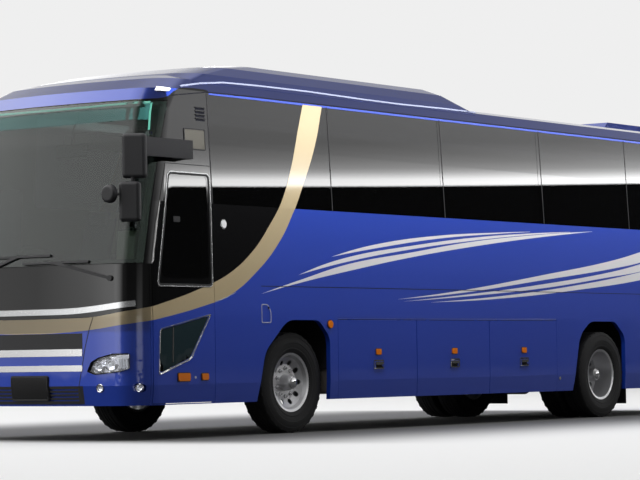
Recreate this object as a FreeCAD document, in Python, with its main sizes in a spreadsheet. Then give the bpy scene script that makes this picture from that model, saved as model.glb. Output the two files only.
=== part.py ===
import FreeCAD, Part
import Sketcher
import math
import os
import re
from types import SimpleNamespace
from FreeCAD import Placement, Rotation, Vector

# Super-high-deck coach, twelve metres long. Millimetres and degrees.
# Stations run rearwards from the bumper's face. +X is the passenger door's side.

SIZES = (
    # Overall
    ("body_length", 11990), ("mirror_lead", 200), ("wall", 50), ("skin_gap", 0.3), ("panel_gap", 6),
    ("overrun", 200),
    # Plan outline shared by every level
    ("front_bow", 4500), ("rear_bow", 12000), ("rear_corner", 190),
    # Levels of the outer skin: height, half width, front and rear stations, corner radius
    ("sill_height", 330), ("sill_half", 1232), ("sill_front", 30), ("sill_rear", 11960), ("sill_corner", 330),
    ("skirt_height", 520), ("skirt_half", 1245), ("skirt_front", 0), ("skirt_rear", 11990),
    ("skirt_corner", 330),
    ("crease_height", 1175), ("crease_half", 1245), ("crease_front", 0), ("crease_rear", 11990),
    ("crease_corner", 330),
    ("mask_height", 1670), ("mask_half", 1239), ("mask_front", 20), ("mask_rear", 11985),
    ("mask_corner", 330),
    ("belt_height", 2270), ("belt_half", 1228), ("belt_front", 128), ("belt_rear", 11970),
    ("belt_corner", 330),
    ("pane_height", 2850), ("pane_half", 1195), ("pane_front", 235), ("pane_rear", 11940),
    ("pane_corner", 330),
    ("brow_height", 3180), ("brow_half", 1176), ("brow_front", 315), ("brow_rear", 11910),
    ("brow_corner", 330),
    ("gutter_height", 3370), ("gutter_half", 1165), ("gutter_front", 440), ("gutter_rear", 11870),
    ("gutter_corner", 330),
    ("cove_height", 3485), ("cove_half", 1102), ("cove_front", 690), ("cove_rear", 11780),
    ("cove_corner", 320),
    ("eave_height", 3530), ("eave_half", 960), ("eave_front", 860), ("eave_rear", 11650),
    ("eave_corner", 300),
    ("crown_height", 3560), ("crown_half", 600), ("crown_front", 1150), ("crown_rear", 11300),
    ("crown_corner", 250),
    # Levels of the roof fairing
    ("foot_height", 3400), ("foot_half", 1115), ("foot_front", 620), ("foot_rear", 6500),
    ("foot_corner", 330),
    ("low_height", 3465), ("low_half", 1115), ("low_front", 740), ("low_rear", 6440), ("low_corner", 330),
    ("mid_height", 3560), ("mid_half", 1085), ("mid_front", 1020), ("mid_rear", 6100), ("mid_corner", 330),
    ("high_height", 3655), ("high_half", 1015), ("high_front", 1470), ("high_rear", 5840),
    ("high_corner", 320),
    ("peak_height", 3715), ("peak_half", 900), ("peak_front", 2020), ("peak_rear", 5660),
    ("peak_corner", 300),
    ("top_height", 3750), ("top_half", 700), ("top_front", 2900), ("top_rear", 5500), ("top_corner", 280),
    # Rear roof unit
    ("unit_front", 9700), ("unit_length", 1500), ("unit_half", 700), ("unit_top", 3640), ("unit_rake", 180),
    # Panel joints
    ("bumper_top", 1029), ("front_end", 345), ("rear_end", 11760), ("rear_bumper_top", 900),
    ("crease_set_in", 28), ("crease_rise", 100), ("crease_lip", 12), ("crease_start", 2030),
    ("crease_full", 2480),
    # Windscreen and glass
    ("screen_glass", 12), ("glass_seat", 35), ("screen_foot", 1670), ("screen_head", 3240),
    ("screen_edge_foot", 300), ("screen_edge_belt", 425), ("screen_edge_pane", 580),
    ("screen_edge_head", 715), ("pane_glass", 10),
    ("band_start", 1309), ("band_end", 11560),
    ("first_pillar", 3295), ("pillar_pitch", 2050), ("pillar_width", 120), ("window_margin", 70),
    ("window_round", 60), ("head_of_windows", 3345),
    # Wheels and axles
    ("tyre_radius", 512), ("tyre_half", 147.5), ("shoulder_half", 128), ("shoulder_drop", 14),
    ("sidewall_radius", 430), ("seat_radius", 287), ("bead_half", 112), ("flange_radius", 300),
    ("front_axle_station", 2665), ("wheelbase", 6080), ("front_track", 2030), ("kingpin_half", 850),
    ("twin_spacing", 335), ("rear_track", 1820),
    ("barrel_wall", 12), ("flange_thick", 8), ("disc_radius", 255), ("disc_face", 62),
    ("disc_dish", 40), ("disc_thick", 16), ("hole_circle", 205), ("hand_hole_radius", 28), ("hand_holes", 10),
    ("land_radius", 185), ("hub_radius", 88), ("hub_out", 130), ("cap_radius", 60), ("cap_thick", 20),
    ("hub_in", 60), ("spindle_radius", 45), ("bearing_gap", 0.3), ("rear_disc_face", 20),
    ("rear_hub_out", 70),
    # Front suspension
    ("kingpin_radius", 26), ("knuckle_radius", 55), ("knuckle_height", 300), ("eye_height", 110),
    ("eye_radius", 58), ("beam_width", 110), ("beam_depth", 90), ("beam_drop", 130), ("beam_half", 480),
    ("beam_shelf", 130),
    ("steer_arm_length", 190), ("steer_arm_width", 40),
    # Rear suspension
    ("tube_radius", 68), ("diff_radius", 235), ("spring_reach", 430), ("spring_radius", 95),
    ("link_height", 60), ("link_drop", 150),
    # Wheel arches: stations from the axle, heights above ground
    ("arch_top", 1142), ("front_arch_fore", 696), ("front_arch_rear", 531), ("front_flat_fore", 190),
    ("front_flat_rear", 345), ("front_shoulder_fore", 560), ("front_shoulder_rise", 500),
    ("rear_arch_fore", 710), ("rear_arch_rear", 512), ("rear_flat_fore", 300), ("rear_flat_rear", 280),
    ("rear_shoulder_fore", 545), ("rear_shoulder_rise", 650), ("arch_round", 180), ("arch_sweep", 300),
    # Wheelhouses
    ("house_inner", 480), ("rear_house_inner", 520), ("house_wall", 12), ("house_top", 1250),
    ("house_fore", 660), ("house_rear", 625), ("flap_bottom", 150), ("flap_thick", 10),
    # Underframe
    ("rail_half", 400), ("rail_width", 80), ("rail_height", 200), ("rail_bottom", 640),
    ("rail_start", 1340), ("rail_rear", 11700), ("cross_width", 100),
    ("front_pad", 1560), ("rear_pad", 9400), ("pad_size", 140), ("pad_thick", 20),
    # Floors
    ("deck_bottom", 1420), ("deck_thick", 60), ("deck_start", 1950), ("deck_rear", 11500),
    ("platform_bottom", 950), ("platform_thick", 50), ("platform_start", 300), ("platform_side", 340),
    ("step_count", 3), ("step_first", 420), ("hold_bottom", 400), ("hold_thick", 50),
    ("hold_start", 3295), ("hold_end", 7950), ("bulkhead", 25), ("post_width", 60),
    # Luggage doors
    ("locker_start", 3335), ("locker_pitch", 1445), ("locker_count", 3), ("locker_top", 1146),
    ("hinge_radius", 7), ("hinge_rise", 10), ("hinge_room", 24), ("hinge_length", 60), ("hinge_inset", 180),
    ("locker_gap", 8), ("handle_drop", 480), ("handle_width", 160), ("handle_height", 90),
    ("handle_depth", 6),
    # Passenger door
    ("door_front", 375), ("door_rear", 1300), ("door_bottom", 345), ("door_top", 2635),
    ("door_bend_height", 1700), ("door_slant_front", 445), ("door_slant_height", 2060),
    ("door_top_front", 620),
    ("door_window_front", 500), ("door_window_rear", 1225), ("door_window_bottom", 1535),
    ("door_window_top", 2550), ("door_window_top_front", 655),
    ("low_window_front", 460), ("low_window_rear", 1210),
    ("low_window_top_front", 1040), ("low_window_top_rear", 1180), ("low_window_bottom_front", 630),
    ("low_window_bottom_rear", 770), ("low_window_slant", 300), ("low_window_round", 28),
    ("arm_half", 1100), ("arm_front", 430), ("arm_length", 440), ("arm_radius", 18), ("post_radius", 22),
    ("arm_low", 1255), ("arm_high", 1480), ("elbow_reach", 250), ("elbow_turn", 140),
    ("post_head", 2250), ("door_boss", 30),
    # Driver's window
    ("driver_window_bottom", 1700),
    # Front fittings
    ("grille_low", 350), ("grille_low_top", 520), ("strip_low", 660), ("strip_low_top", 717),
    ("strip_high", 804), ("strip_high_top", 871), ("grille_high_top", 1020), ("front_centre_half", 640),
    ("grille_recess", 25), ("slat_count", 4), ("slot_height", 14), ("slot_margin", 60),
    ("bar_low", 1199), ("bar_high", 1255), ("bar_half", 1160), ("bar_bend_half", 590), ("bar_lift", 66),
    ("bar_sweep", 4500), ("bar_stand", 8),
    # Lamps
    ("lamp_low", 624), ("lamp_high", 827), ("lamp_inner", 698), ("lamp_outer", 1113), ("lamp_rear", 215),
    ("lamp_depth", 40), ("lamp_round", 14),
    ("fog_height", 498), ("fog_inner", 824), ("fog_outer", 1176), ("fog_radius", 42),
    ("marker_half", 45), ("marker_stand", 12), ("marker_height", 810), ("tail_low", 1050),
    ("tail_high", 1550), ("tail_inner", 1000), ("tail_depth", 30),
    # Mirrors
    ("mirror_half", 1300), ("mirror_station", 60), ("mirror_width", 230), ("mirror_height", 420),
    ("mirror_bottom", 2460), ("mirror_depth", 110), ("mirror_turn", 29), ("mirror_round", 34),
    ("mirror_rim", 14), ("glass_sink", 8), ("second_height", 375), ("second_bottom", 2050),
    ("second_station", -10), ("second_width", 200), ("stay_radius", 20), ("stay_width", 46),
    ("stay_height", 180), ("stay_rear", 900), ("stay_bottom", 2680), ("round_radius", 85),
    ("round_depth", 60), ("round_half", 1177), ("round_height", 2310),
    # Wipers
    ("pivot_half", 941), ("pivot_height", 1536), ("pivot_radius", 26), ("wiper_stand", 22),
    ("arm_width", 26), ("blade_width", 20), ("blade_height", 1700), ("blade_start", -84), ("blade_end", 709),
    ("far_blade_height", 1770), ("far_blade_start", -600), ("far_blade_end", 257),
    # Driver's place
    ("dash_front", 300), ("dash_depth", 420), ("well_side", 800), ("dash_bottom", 1300), ("dash_top", 1600),
    ("wheel_radius", 225), ("wheel_rim_radius", 15), ("driver_half", 600), ("wheel_station", 850),
    ("wheel_height", 1780), ("wheel_tilt", 60), ("column_radius", 30),
    # Seats
    ("seat_pitch", 870), ("seat_rows", 10), ("seat_first", 2350), ("seat_inner", 260), ("seat_width", 880),
    ("seat_depth", 460), ("cushion_height", 420), ("cushion_thick", 120), ("back_height", 720),
    ("back_thick", 110), ("back_rake", 190), ("seat_leg", 300), ("seat_round", 42), ("seat_split", 20),
    ("head_width", 270), ("head_height", 170), ("head_out", 45), ("head_round", 18),
    ("rest_height", 190), ("rest_thick", 50), ("rest_width", 45), ("rest_start", 90),
    # Engine
    ("engine_front", 9700), ("engine_length", 1500), ("engine_half", 360), ("engine_bottom", 450),
    ("engine_top", 1350),
    # Rear
    ("lid_half", 900), ("lid_top", 1850), ("rear_window_half", 950),
    ("rear_window_bottom", 2350), ("rear_window_top", 3150), ("lid_hinge_radius", 9),
    ("lid_hinge_room", 42), ("lid_hinge_rise", 14),
)

LEVELS = ("sill", "skirt", "crease", "mask", "belt", "pane", "brow", "gutter", "cove", "eave", "crown")
FAIRING = ("foot", "low", "mid", "high", "peak", "top")
SOLVER_START = 100  # radius of the circle that a sketch's corners start on before they are solved
FRONT = "(mirror_lead - body_length) / 2"

doc = FreeCAD.newDocument("coach")
sheet = doc.addObject("Spreadsheet::Sheet", "Sizes")
for row, (alias, value) in enumerate(SIZES, start=1):
    sheet.set(f"A{row}", str(value))
    sheet.setAlias(f"A{row}", alias)
doc.recompute()
size = SimpleNamespace(**{alias: float(sheet.get(alias)) for alias, value in SIZES})
front_y = (size.mirror_lead - size.body_length) / 2
pieces = []


# Expressions name the sheet's cells by their aliases.
def bind(text):
    return re.sub(r"[a-z][a-z_]*", lambda found: "Sizes." + found.group(), text)


def publish(piece, name, along="0", across="0", up="0"):
    piece.Label = name
    for axis, text in (("x", across), ("y", f"{FRONT} + {along}"), ("z", up)):
        piece.setExpression(f"Placement.Base.{axis}", bind(text))
    pieces.append(piece)
    return piece


def feature(name, shape):
    piece = doc.addObject("Part::Feature", name)
    piece.Label = name
    piece.Shape = shape
    piece.Placement = Placement(Vector(0, front_y, 0), Rotation())
    pieces.append(piece)
    return piece


def block(name, start, extent):
    box = doc.addObject("Part::Box", name)
    for prop, text in zip(("Length", "Width", "Height"), extent):
        box.setExpression(prop, bind(text))
    for axis, text in zip("xyz", start):
        box.setExpression(f"Placement.Base.{axis}", bind(text))
    return box


def round_bar(name, place, radius, height):
    bar = doc.addObject("Part::Cylinder", name)
    bar.setExpression("Radius", bind(radius))
    bar.setExpression("Height", bind(height))
    for axis, text in zip("xyz", place):
        bar.setExpression(f"Placement.Base.{axis}", bind(text))
    return bar


def joined(name, parts):
    whole = doc.addObject("Part::MultiFuse", name)
    whole.Shapes = parts
    whole.Refine = True
    return whole


# A closed sketch whose corners are held by distances from the origin.
def outline(body, name, role, corners):
    sketch = body.newObject("Sketcher::SketchObject", name)
    plane = next(item for item in body.Origin.OriginFeatures if item.Role == role)
    sketch.AttachmentSupport = [(plane, "")]
    sketch.MapMode = "FlatFace"
    count = len(corners)
    turns = [2 * math.pi * corner / count for corner in range(count)]
    rough = [Vector(math.cos(turn), math.sin(turn), 0) * SOLVER_START for turn in turns]
    for corner in range(count):
        sketch.addGeometry(Part.LineSegment(rough[corner], rough[(corner + 1) % count]), False)
    for corner in range(count):
        sketch.addConstraint(Sketcher.Constraint("Coincident", corner, 2, (corner + 1) % count, 1))
    for corner, places in enumerate(corners):
        for kind, text in zip(("DistanceX", "DistanceY"), places):
            index = sketch.addConstraint(Sketcher.Constraint(kind, -1, 1, corner, 1, SOLVER_START))
            sketch.setExpression(f"Constraints[{index}]", bind(text))
    return sketch


def turned(name, corners):
    body = doc.addObject("PartDesign::Body", name)
    sketch = outline(body, name + "_section", "XY_Plane", corners)
    turn = body.newObject("PartDesign::Revolution", name + "_turn")
    turn.Profile = sketch
    turn.ReferenceAxis = (sketch, ["H_Axis"])
    turn.Angle = 360
    return body


# Plain shapes in station coordinates, for cutting and for curved panels.
def span(across, along, up):
    corner = Vector(across[0], along[0], up[0])
    return Part.makeBox(across[1] - across[0], along[1] - along[0], up[1] - up[0], corner)


def rounded(points, radii):
    edges = []
    count = len(points)
    ends = []
    for corner in range(count):
        here, before, after = points[corner], points[corner - 1], points[(corner + 1) % count]
        back = (before - here).normalize()
        ahead = (after - here).normalize()
        half_turn = back.getAngle(ahead) / 2
        reach = radii[corner] / math.tan(half_turn)
        middle = (back + ahead).normalize() * (radii[corner] / math.sin(half_turn) - radii[corner])
        ends.append((here + back * reach, here + middle, here + ahead * reach))
    for corner in range(count):
        first, middle, last = ends[corner]
        if radii[corner] > 0:
            edges.append(Part.Arc(first, middle, last).toShape())
        following = ends[(corner + 1) % count][0]
        edges.append(Part.LineSegment(last, following).toShape())
    return Part.Wire(edges)


# A side view outline of stations and heights, pushed through from one width to another.
def side_prism(places, radii, across):
    points = [Vector(across[0], station, height) for station, height in places]
    face = Part.Face(rounded(points, radii))
    return face.extrude(Vector(across[1] - across[0], 0, 0))


def front_prism(places, radii, along):
    points = [Vector(width, along[0], height) for width, height in places]
    face = Part.Face(rounded(points, radii))
    return face.extrude(Vector(0, along[1] - along[0], 0))


# The bowed end of a plan outline: the touching points and middles of its arcs.
def bowed_end(half, tip, bow, bend, way):
    depth = math.sqrt((bow - bend) ** 2 - (half - bend) ** 2)
    centre = Vector(half - bend, tip + way * (bow - depth), 0)
    outward = Vector(half - bend, -way * depth, 0).normalize()
    touch = centre + outward * bend
    middle = centre + (outward + Vector(1, 0, 0)).normalize() * bend
    side = centre + Vector(bend, 0, 0)
    return touch, middle, side


def mirrored(point):
    return Vector(-point.x, point.y, point.z)


# One level of the skin in plan, drawn a set distance inside it.
def plan(level, inset, drop):
    half = getattr(size, level + "_half") - inset
    height = getattr(size, level + "_height") - drop
    nose = getattr(size, level + "_front") + inset
    tail = getattr(size, level + "_rear") - inset
    corner = getattr(size, level + "_corner") - inset
    front = bowed_end(half, nose, size.front_bow - inset, corner, 1)
    rear = bowed_end(half, tail, size.rear_bow - inset, size.rear_corner - inset, -1)
    arcs = (
        (mirrored(front[0]), Vector(0, nose, 0), front[0]), (front[0], front[1], front[2]), None,
        (rear[2], rear[1], rear[0]), (rear[0], Vector(0, tail, 0), mirrored(rear[0])),
        (mirrored(rear[0]), mirrored(rear[1]), mirrored(rear[2])), None,
        (mirrored(front[2]), mirrored(front[1]), mirrored(front[0])),
    )
    sides = {2: (front[2], rear[2]), 6: (mirrored(rear[2]), mirrored(front[2]))}
    edges = []
    rise = Vector(0, 0, height)
    for index, arc in enumerate(arcs):
        ends = sides[index] if arc is None else arc
        points = [point + rise for point in ends]
        curve = Part.LineSegment(*points) if arc is None else Part.Arc(*points)
        edges.append(curve.toShape())
    return edges


# The skin between two levels: flat at the sides, ruled round the bowed ends and corners.
def ruled_band(low, high):
    faces = []
    for below, above in zip(low, high):
        if isinstance(below.Curve, Part.Line):
            corners = [below.Vertexes[0], below.Vertexes[1], above.Vertexes[1], above.Vertexes[0]]
            points = [corner.Point for corner in corners]
            faces.append(Part.Face(Part.makePolygon(points + points[:1])))
        else:
            faces.append(Part.makeRuledSurface(below, above))
    return faces


def skin(inset, levels=LEVELS):
    key = (inset, levels)
    if key not in skins:
        drop = {levels[0]: inset, levels[-1]: inset} if inset > 0 else {}
        outlines = [plan(level, inset, drop.get(level, 0)) for level in levels]
        faces = [Part.Face(Part.Wire(outlines[0])), Part.Face(Part.Wire(outlines[-1]))]
        for low, high in zip(outlines, outlines[1:]):
            faces += ruled_band(low, high)
        sewn = Part.makeShell(faces)
        sewn.sewShape()
        skins[key] = Part.makeSolid(sewn)
    return skins[key]


skins = {}
outer = skin(0)
inner = skin(size.wall)
lining = skin(size.wall + size.skin_gap)
wide = size.skirt_half + size.overrun
axle_stations = {"front": size.front_axle_station, "rear": size.front_axle_station + size.wheelbase}
whole_length = (-size.overrun, size.body_length + size.overrun)


# Strip above the crease, where the upper side stands in from the lower one.
def set_back():
    corners = ((size.crease_full, size.crease_set_in, size.crease_rise),
               (size.crease_start, -size.skin_gap, size.crease_lip))
    wires = []
    for station, set_in, rise in corners:
        section = (
            (wide, size.crease_height), (size.crease_half, size.crease_height),
            (size.crease_half - set_in, size.crease_height + rise),
            (size.belt_half, size.belt_height), (wide, size.belt_height),
        )
        points = [Vector(width, station, height) for width, height in section]
        wires.append(Part.makePolygon(points + points[:1]))
    swept = Part.makeLoft(wires, True, True)
    return swept.fuse(Part.Face(wires[0]).extrude(Vector(0, size.body_length, 0)))


def on_side(shape, way):
    return shape if way > 0 else shape.mirror(Vector(0, 0, 0), Vector(1, 0, 0))


creased = outer.cut([set_back(), on_side(set_back(), -1)])
shell = creased.cut(inner)
# The frame behind the windscreen, as deep as the wall less the glass.
backing = skin(size.screen_glass + size.skin_gap).cut(inner)


# Everything behind the windscreen's slanted edge.
def behind_edge(gap):
    top = size.gutter_height + size.overrun
    places = (
        (size.front_end, 0), (size.body_length + size.overrun, 0), (size.body_length + size.overrun, top),
        (size.screen_edge_head + gap, top), (size.screen_edge_head + gap, size.screen_head),
        (size.screen_edge_pane + gap, size.pane_height), (size.screen_edge_belt + gap, size.belt_height),
        (size.screen_edge_foot + gap, size.screen_foot), (size.front_end, size.screen_foot),
    )
    return side_prism(places, (0,) * len(places), (-wide, wide))


def arch(name):
    axle = axle_stations[name]
    fore = getattr(size, name + "_arch_fore")
    rear = getattr(size, name + "_arch_rear")
    flat_fore = getattr(size, name + "_flat_fore")
    flat_rear = getattr(size, name + "_flat_rear")
    shoulder_fore = getattr(size, name + "_shoulder_fore")
    shoulder_rise = getattr(size, name + "_shoulder_rise")
    foot = size.sill_height
    places = (
        (axle - fore, foot - size.overrun), (axle + rear, foot - size.overrun),
        (axle + rear, size.arch_top - size.arch_round), (axle + flat_rear, size.arch_top),
        (axle - flat_fore, size.arch_top), (axle - shoulder_fore, foot + shoulder_rise),
        (axle - fore, foot),
    )
    radii = (0, 0, size.arch_round, size.arch_round, size.arch_sweep, size.arch_sweep, size.arch_round)
    return side_prism(places, radii, (-wide, wide))


def locker_span(index, gap):
    start = size.locker_start + index * size.locker_pitch
    return (start + gap / 2, start + size.locker_pitch - gap / 2)


def pillars():
    stations = [size.band_start]
    station = size.first_pillar
    while station < size.band_end - size.pillar_pitch / 2:
        stations.append(station)
        station += size.pillar_pitch
    stations.append(size.band_end)
    return stations


def door_outline(gap):
    low, high = size.door_bottom - gap, size.door_top + gap
    places = (
        (size.door_front - gap, low), (size.door_rear + gap, low), (size.door_rear + gap, high),
        (size.door_top_front - gap, high), (size.door_slant_front - gap, size.door_slant_height),
        (size.door_front - gap, size.door_bend_height),
    )
    return side_prism(places, (0,) * len(places), (0, wide))


def door_windows(margin):
    upper = (
        (size.door_window_front - margin, size.door_window_bottom - margin),
        (size.door_window_rear + margin, size.door_window_bottom - margin),
        (size.door_window_rear + margin, size.door_window_top + margin),
        (size.door_window_top_front - margin, size.door_window_top + margin),
    )
    lower = (
        (size.low_window_front - margin, size.low_window_bottom_front - margin),
        (size.low_window_rear - size.low_window_slant + margin, size.low_window_bottom_rear - margin),
        (size.low_window_rear + margin, size.low_window_top_rear + margin),
        (size.low_window_front - margin, size.low_window_top_front + margin),
    )
    rounds = (size.window_round, size.low_window_round)
    return [side_prism(places, (bend,) * 4, (0, wide)) for places, bend in zip((upper, lower), rounds)]


def side_wall(way):
    name = "left_side_wall" if way > 0 else "right_side_wall"
    room = span((0, wide), whole_length, (0, size.gutter_height))
    behind = span((0, wide), (-size.overrun, size.rear_end), (0, size.gutter_height))
    wall = shell.common(room).common(behind).common(behind_edge(0))
    seat_top = size.screen_head + size.panel_gap
    seat = backing.common(span((0, wide), whole_length, (size.screen_foot, seat_top)))
    wall = wall.fuse(seat.common(behind_edge(-size.glass_seat)).cut(behind_edge(0)))
    cuts = [arch("front"), arch("rear")]
    stations = pillars()
    band = span((0, wide), (size.band_start, size.band_end), (size.belt_height, size.head_of_windows))
    cuts.append(band.cut(skin(size.pane_glass + size.skin_gap)))
    for start, end in zip(stations, stations[1:]):
        along = (start + size.pillar_width / 2, end - size.pillar_width / 2)
        up = (size.belt_height + size.window_margin, size.head_of_windows - size.window_margin)
        corners = ((along[0], up[0]), (along[1], up[0]), (along[1], up[1]), (along[0], up[1]))
        cuts.append(side_prism(corners, (size.window_round,) * 4, (0, wide)))
    lockers = (size.locker_start, size.locker_start + size.locker_count * size.locker_pitch)
    cuts.append(span((0, wide), lockers, (0, size.locker_top + size.hinge_room)))
    if way > 0:
        cuts.append(door_outline(size.panel_gap))
    else:
        cuts.append(driver_window(-size.glass_seat))
        cuts.append(driver_window(0).cut(skin(size.pane_glass + size.skin_gap)))
    wall = wall.cut(cuts)
    barrels = [hinge_barrel(index, side, 1) for index in range(int(size.locker_count)) for side in (0, 1)]
    wall = wall.fuse(barrels)
    feature(name, on_side(wall, way))


def driver_window(margin):
    corners = (
        (size.door_window_front - margin, size.driver_window_bottom - margin),
        (size.door_window_rear + margin, size.driver_window_bottom - margin),
        (size.door_window_rear + margin, size.door_window_top + margin),
        (size.door_window_top_front - margin, size.door_window_top + margin),
    )
    return side_prism(corners, (size.window_round,) * 4, (0, wide))


# A luggage door's hinge: the wall's knuckle and the door's knuckle lie end to end on one axis.
def hinge_barrel(index, side, of_wall):
    start, end = locker_span(index, size.locker_gap)
    along = start + size.hinge_inset if side == 0 else end - size.hinge_inset - 2 * size.hinge_length
    axis_x = size.crease_half - size.hinge_radius
    axis_z = size.locker_top + size.hinge_rise
    offset = size.hinge_length + size.skin_gap if of_wall else 0
    foot = Vector(axis_x, along + offset, axis_z)
    barrel = Part.makeCylinder(size.hinge_radius, size.hinge_length, foot, Vector(0, 1, 0))
    low = axis_z if of_wall else axis_z - size.hinge_rise - size.hinge_radius
    high = axis_z + size.hinge_room - size.hinge_rise + size.hinge_radius if of_wall else axis_z
    ears = (axis_x - size.hinge_radius / 2, axis_x + size.hinge_radius / 2)
    ear = span(ears, (foot.y, foot.y + size.hinge_length), (low, high))
    return barrel.fuse(ear)


def locker_doors():
    for way, side_name in ((1, "left"), (-1, "right")):
        for index in range(int(size.locker_count)):
            along = locker_span(index, size.locker_gap)
            panel = shell.common(span((0, wide), along, (0, size.locker_top)))
            centre = (along[0] + along[1]) / 2
            high = size.locker_top - size.handle_drop + size.handle_height / 2
            handle = span(
                (size.skirt_half, size.skirt_half + size.handle_depth),
                (centre - size.handle_width / 2, centre + size.handle_width / 2),
                (high - size.handle_height, high),
            )
            panel = panel.fuse([handle] + [hinge_barrel(index, side, 0) for side in (0, 1)])
            feature(f"{side_name}_luggage_door_{index + 1}", on_side(panel, way))


def side_glass():
    glass = outer.cut(skin(size.pane_glass))
    panes = []
    stations = pillars()
    for start, end in zip(stations, stations[1:]):
        along = (start + size.panel_gap / 2, end - size.panel_gap / 2)
        up = (size.belt_height + size.panel_gap / 2, size.head_of_windows - size.panel_gap / 2)
        pane = glass.common(span((0, wide), along, up))
        panes += [pane, on_side(pane, -1)]
    front = glass.common(driver_window(-size.panel_gap / 2))
    panes.append(on_side(front, -1))
    feature("side_glass", Part.makeCompound(panes))


def windscreen():
    glass = outer.cut(skin(size.screen_glass))
    up = (size.screen_foot + size.panel_gap, size.screen_head)
    zone = span((-wide, wide), (-size.overrun, size.body_length / 2), up)
    feature("windscreen", glass.common(zone).cut(behind_edge(-size.panel_gap / 2)))


def front_pieces():
    front = span((-wide, wide), (-size.overrun, size.front_end - size.panel_gap / 2), (0, size.bumper_top))
    bumper = shell.common(front)
    half = size.front_centre_half
    recess = outer.cut(skin(size.grille_recess))
    low = span((-half, half), (-size.overrun, size.front_end), (0, size.grille_low_top))
    high = span((-half, half), (-size.overrun, size.front_end), (size.strip_high_top, size.grille_high_top))
    lamps = [zone for way in (1, -1) for zone in [lamp_zone(way, 0)] + fog_zones(way, 0)]
    bumper = bumper.cut([recess.common(low), recess.common(high)])
    bumper = bumper.cut([outer.cut(skin(size.lamp_depth)).common(zone) for zone in lamps])
    feature("front_bumper", bumper)
    mask_zone = span((-wide, wide), (-size.overrun, size.front_end - size.panel_gap / 2),
                     (size.bumper_top, size.screen_foot))
    mask = shell.common(mask_zone)
    lip = span((-wide, wide), (-size.overrun, size.front_end - size.panel_gap / 2),
               (size.screen_foot, size.screen_foot + size.panel_gap + size.glass_seat))
    mask = mask.fuse(backing.common(lip).cut(behind_edge(-size.glass_seat - size.panel_gap)))
    feature("front_mask", mask)
    inlay = skin(size.skin_gap).cut(skin(size.grille_recess - size.skin_gap))
    gap = size.skin_gap
    grilles = []
    rows = ((size.grille_low, size.grille_low_top), (size.strip_high_top, size.grille_high_top))
    for bottom, top in rows:
        zone = span((gap - half, half - gap), (-size.overrun, size.front_end), (bottom + gap, top - gap))
        grilles.append(inlay.common(zone))
    count = int(size.slat_count)
    pitch = (size.grille_low_top - size.grille_low) / (count + 1)
    for index in range(count):
        middle = size.grille_low + pitch * (index + 1)
        slot = span((size.slot_margin - half, half - size.slot_margin), (-size.overrun, size.front_end),
                    (middle - size.slot_height / 2, middle + size.slot_height / 2))
        grilles[0] = grilles[0].cut(slot)
    feature("front_grilles", Part.makeCompound(grilles))
    strips = []
    proud = skin(-size.bar_stand).cut(skin(-size.skin_gap))
    for bottom, top in ((size.strip_low, size.strip_low_top), (size.strip_high, size.strip_high_top)):
        strips.append(proud.common(span((-half, half), (-size.overrun, size.front_end), (bottom, top))))
    strips.append(proud.common(swept_bar()))
    feature("chrome_trim", Part.makeCompound(strips))


# The bright bar lifts towards its ends.
def swept_bar():
    end, bend, lift = size.bar_half, size.bar_bend_half, size.bar_lift
    places = (
        (-end, size.bar_low + lift), (-bend, size.bar_low), (bend, size.bar_low), (end, size.bar_low + lift),
        (end, size.bar_high + lift), (bend, size.bar_high), (-bend, size.bar_high),
        (-end, size.bar_high + lift),
    )
    sweep = size.bar_sweep
    return front_prism(places, (0, sweep, sweep, 0, 0, sweep, sweep, 0), (-size.overrun, size.front_end))


# The head lamp's outline, in shares of its width and height.
LAMP_SHARES = ((0, 0.14), (0.18, 0), (0.81, 0.12), (1, 0.26), (1, 1), (0.63, 0.985), (0.32, 0.83), (0.11, 0.61))


def lamp_zone(way, gap):
    width = size.lamp_outer - size.lamp_inner - 2 * gap
    height = size.lamp_high - size.lamp_low - 2 * gap
    places = [(size.lamp_inner + gap + across * width, size.lamp_low + gap + up * height)
              for across, up in LAMP_SHARES]
    zone = front_prism(places, (size.lamp_round,) * len(places), (-size.overrun, size.lamp_rear))
    return on_side(zone, way)


def fog_zones(way, gap):
    return [Part.makeCylinder(size.fog_radius - gap, size.overrun + size.front_end - size.wall,
                              Vector(way * across, -size.overrun, size.fog_height), Vector(0, 1, 0))
            for across in (size.fog_inner, size.fog_outer)]


def lamps():
    lens = skin(size.skin_gap).cut(skin(size.lamp_depth - size.skin_gap))
    gap = size.skin_gap
    zones = [zone for way in (1, -1) for zone in [lamp_zone(way, gap)] + fog_zones(way, gap)]
    feature("head_lamps", Part.makeCompound([lens.common(zone) for zone in zones]))
    proud = skin(-size.marker_stand).cut(skin(-size.skin_gap))
    marks = []
    for index in range(int(size.locker_count)):
        middle = sum(locker_span(index, 0)) / 2
        along = (middle - size.marker_half, middle + size.marker_half)
        up = (size.marker_height - size.marker_half / 2, size.marker_height + size.marker_half / 2)
        mark = proud.common(span((0, wide), along, up))
        marks += [mark, on_side(mark, -1)]
    return marks


def tail_zone(gap):
    return span((size.tail_inner + gap, wide), (size.rear_end + gap, size.body_length + size.overrun),
                (size.tail_low + gap, size.tail_high - gap))


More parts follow.
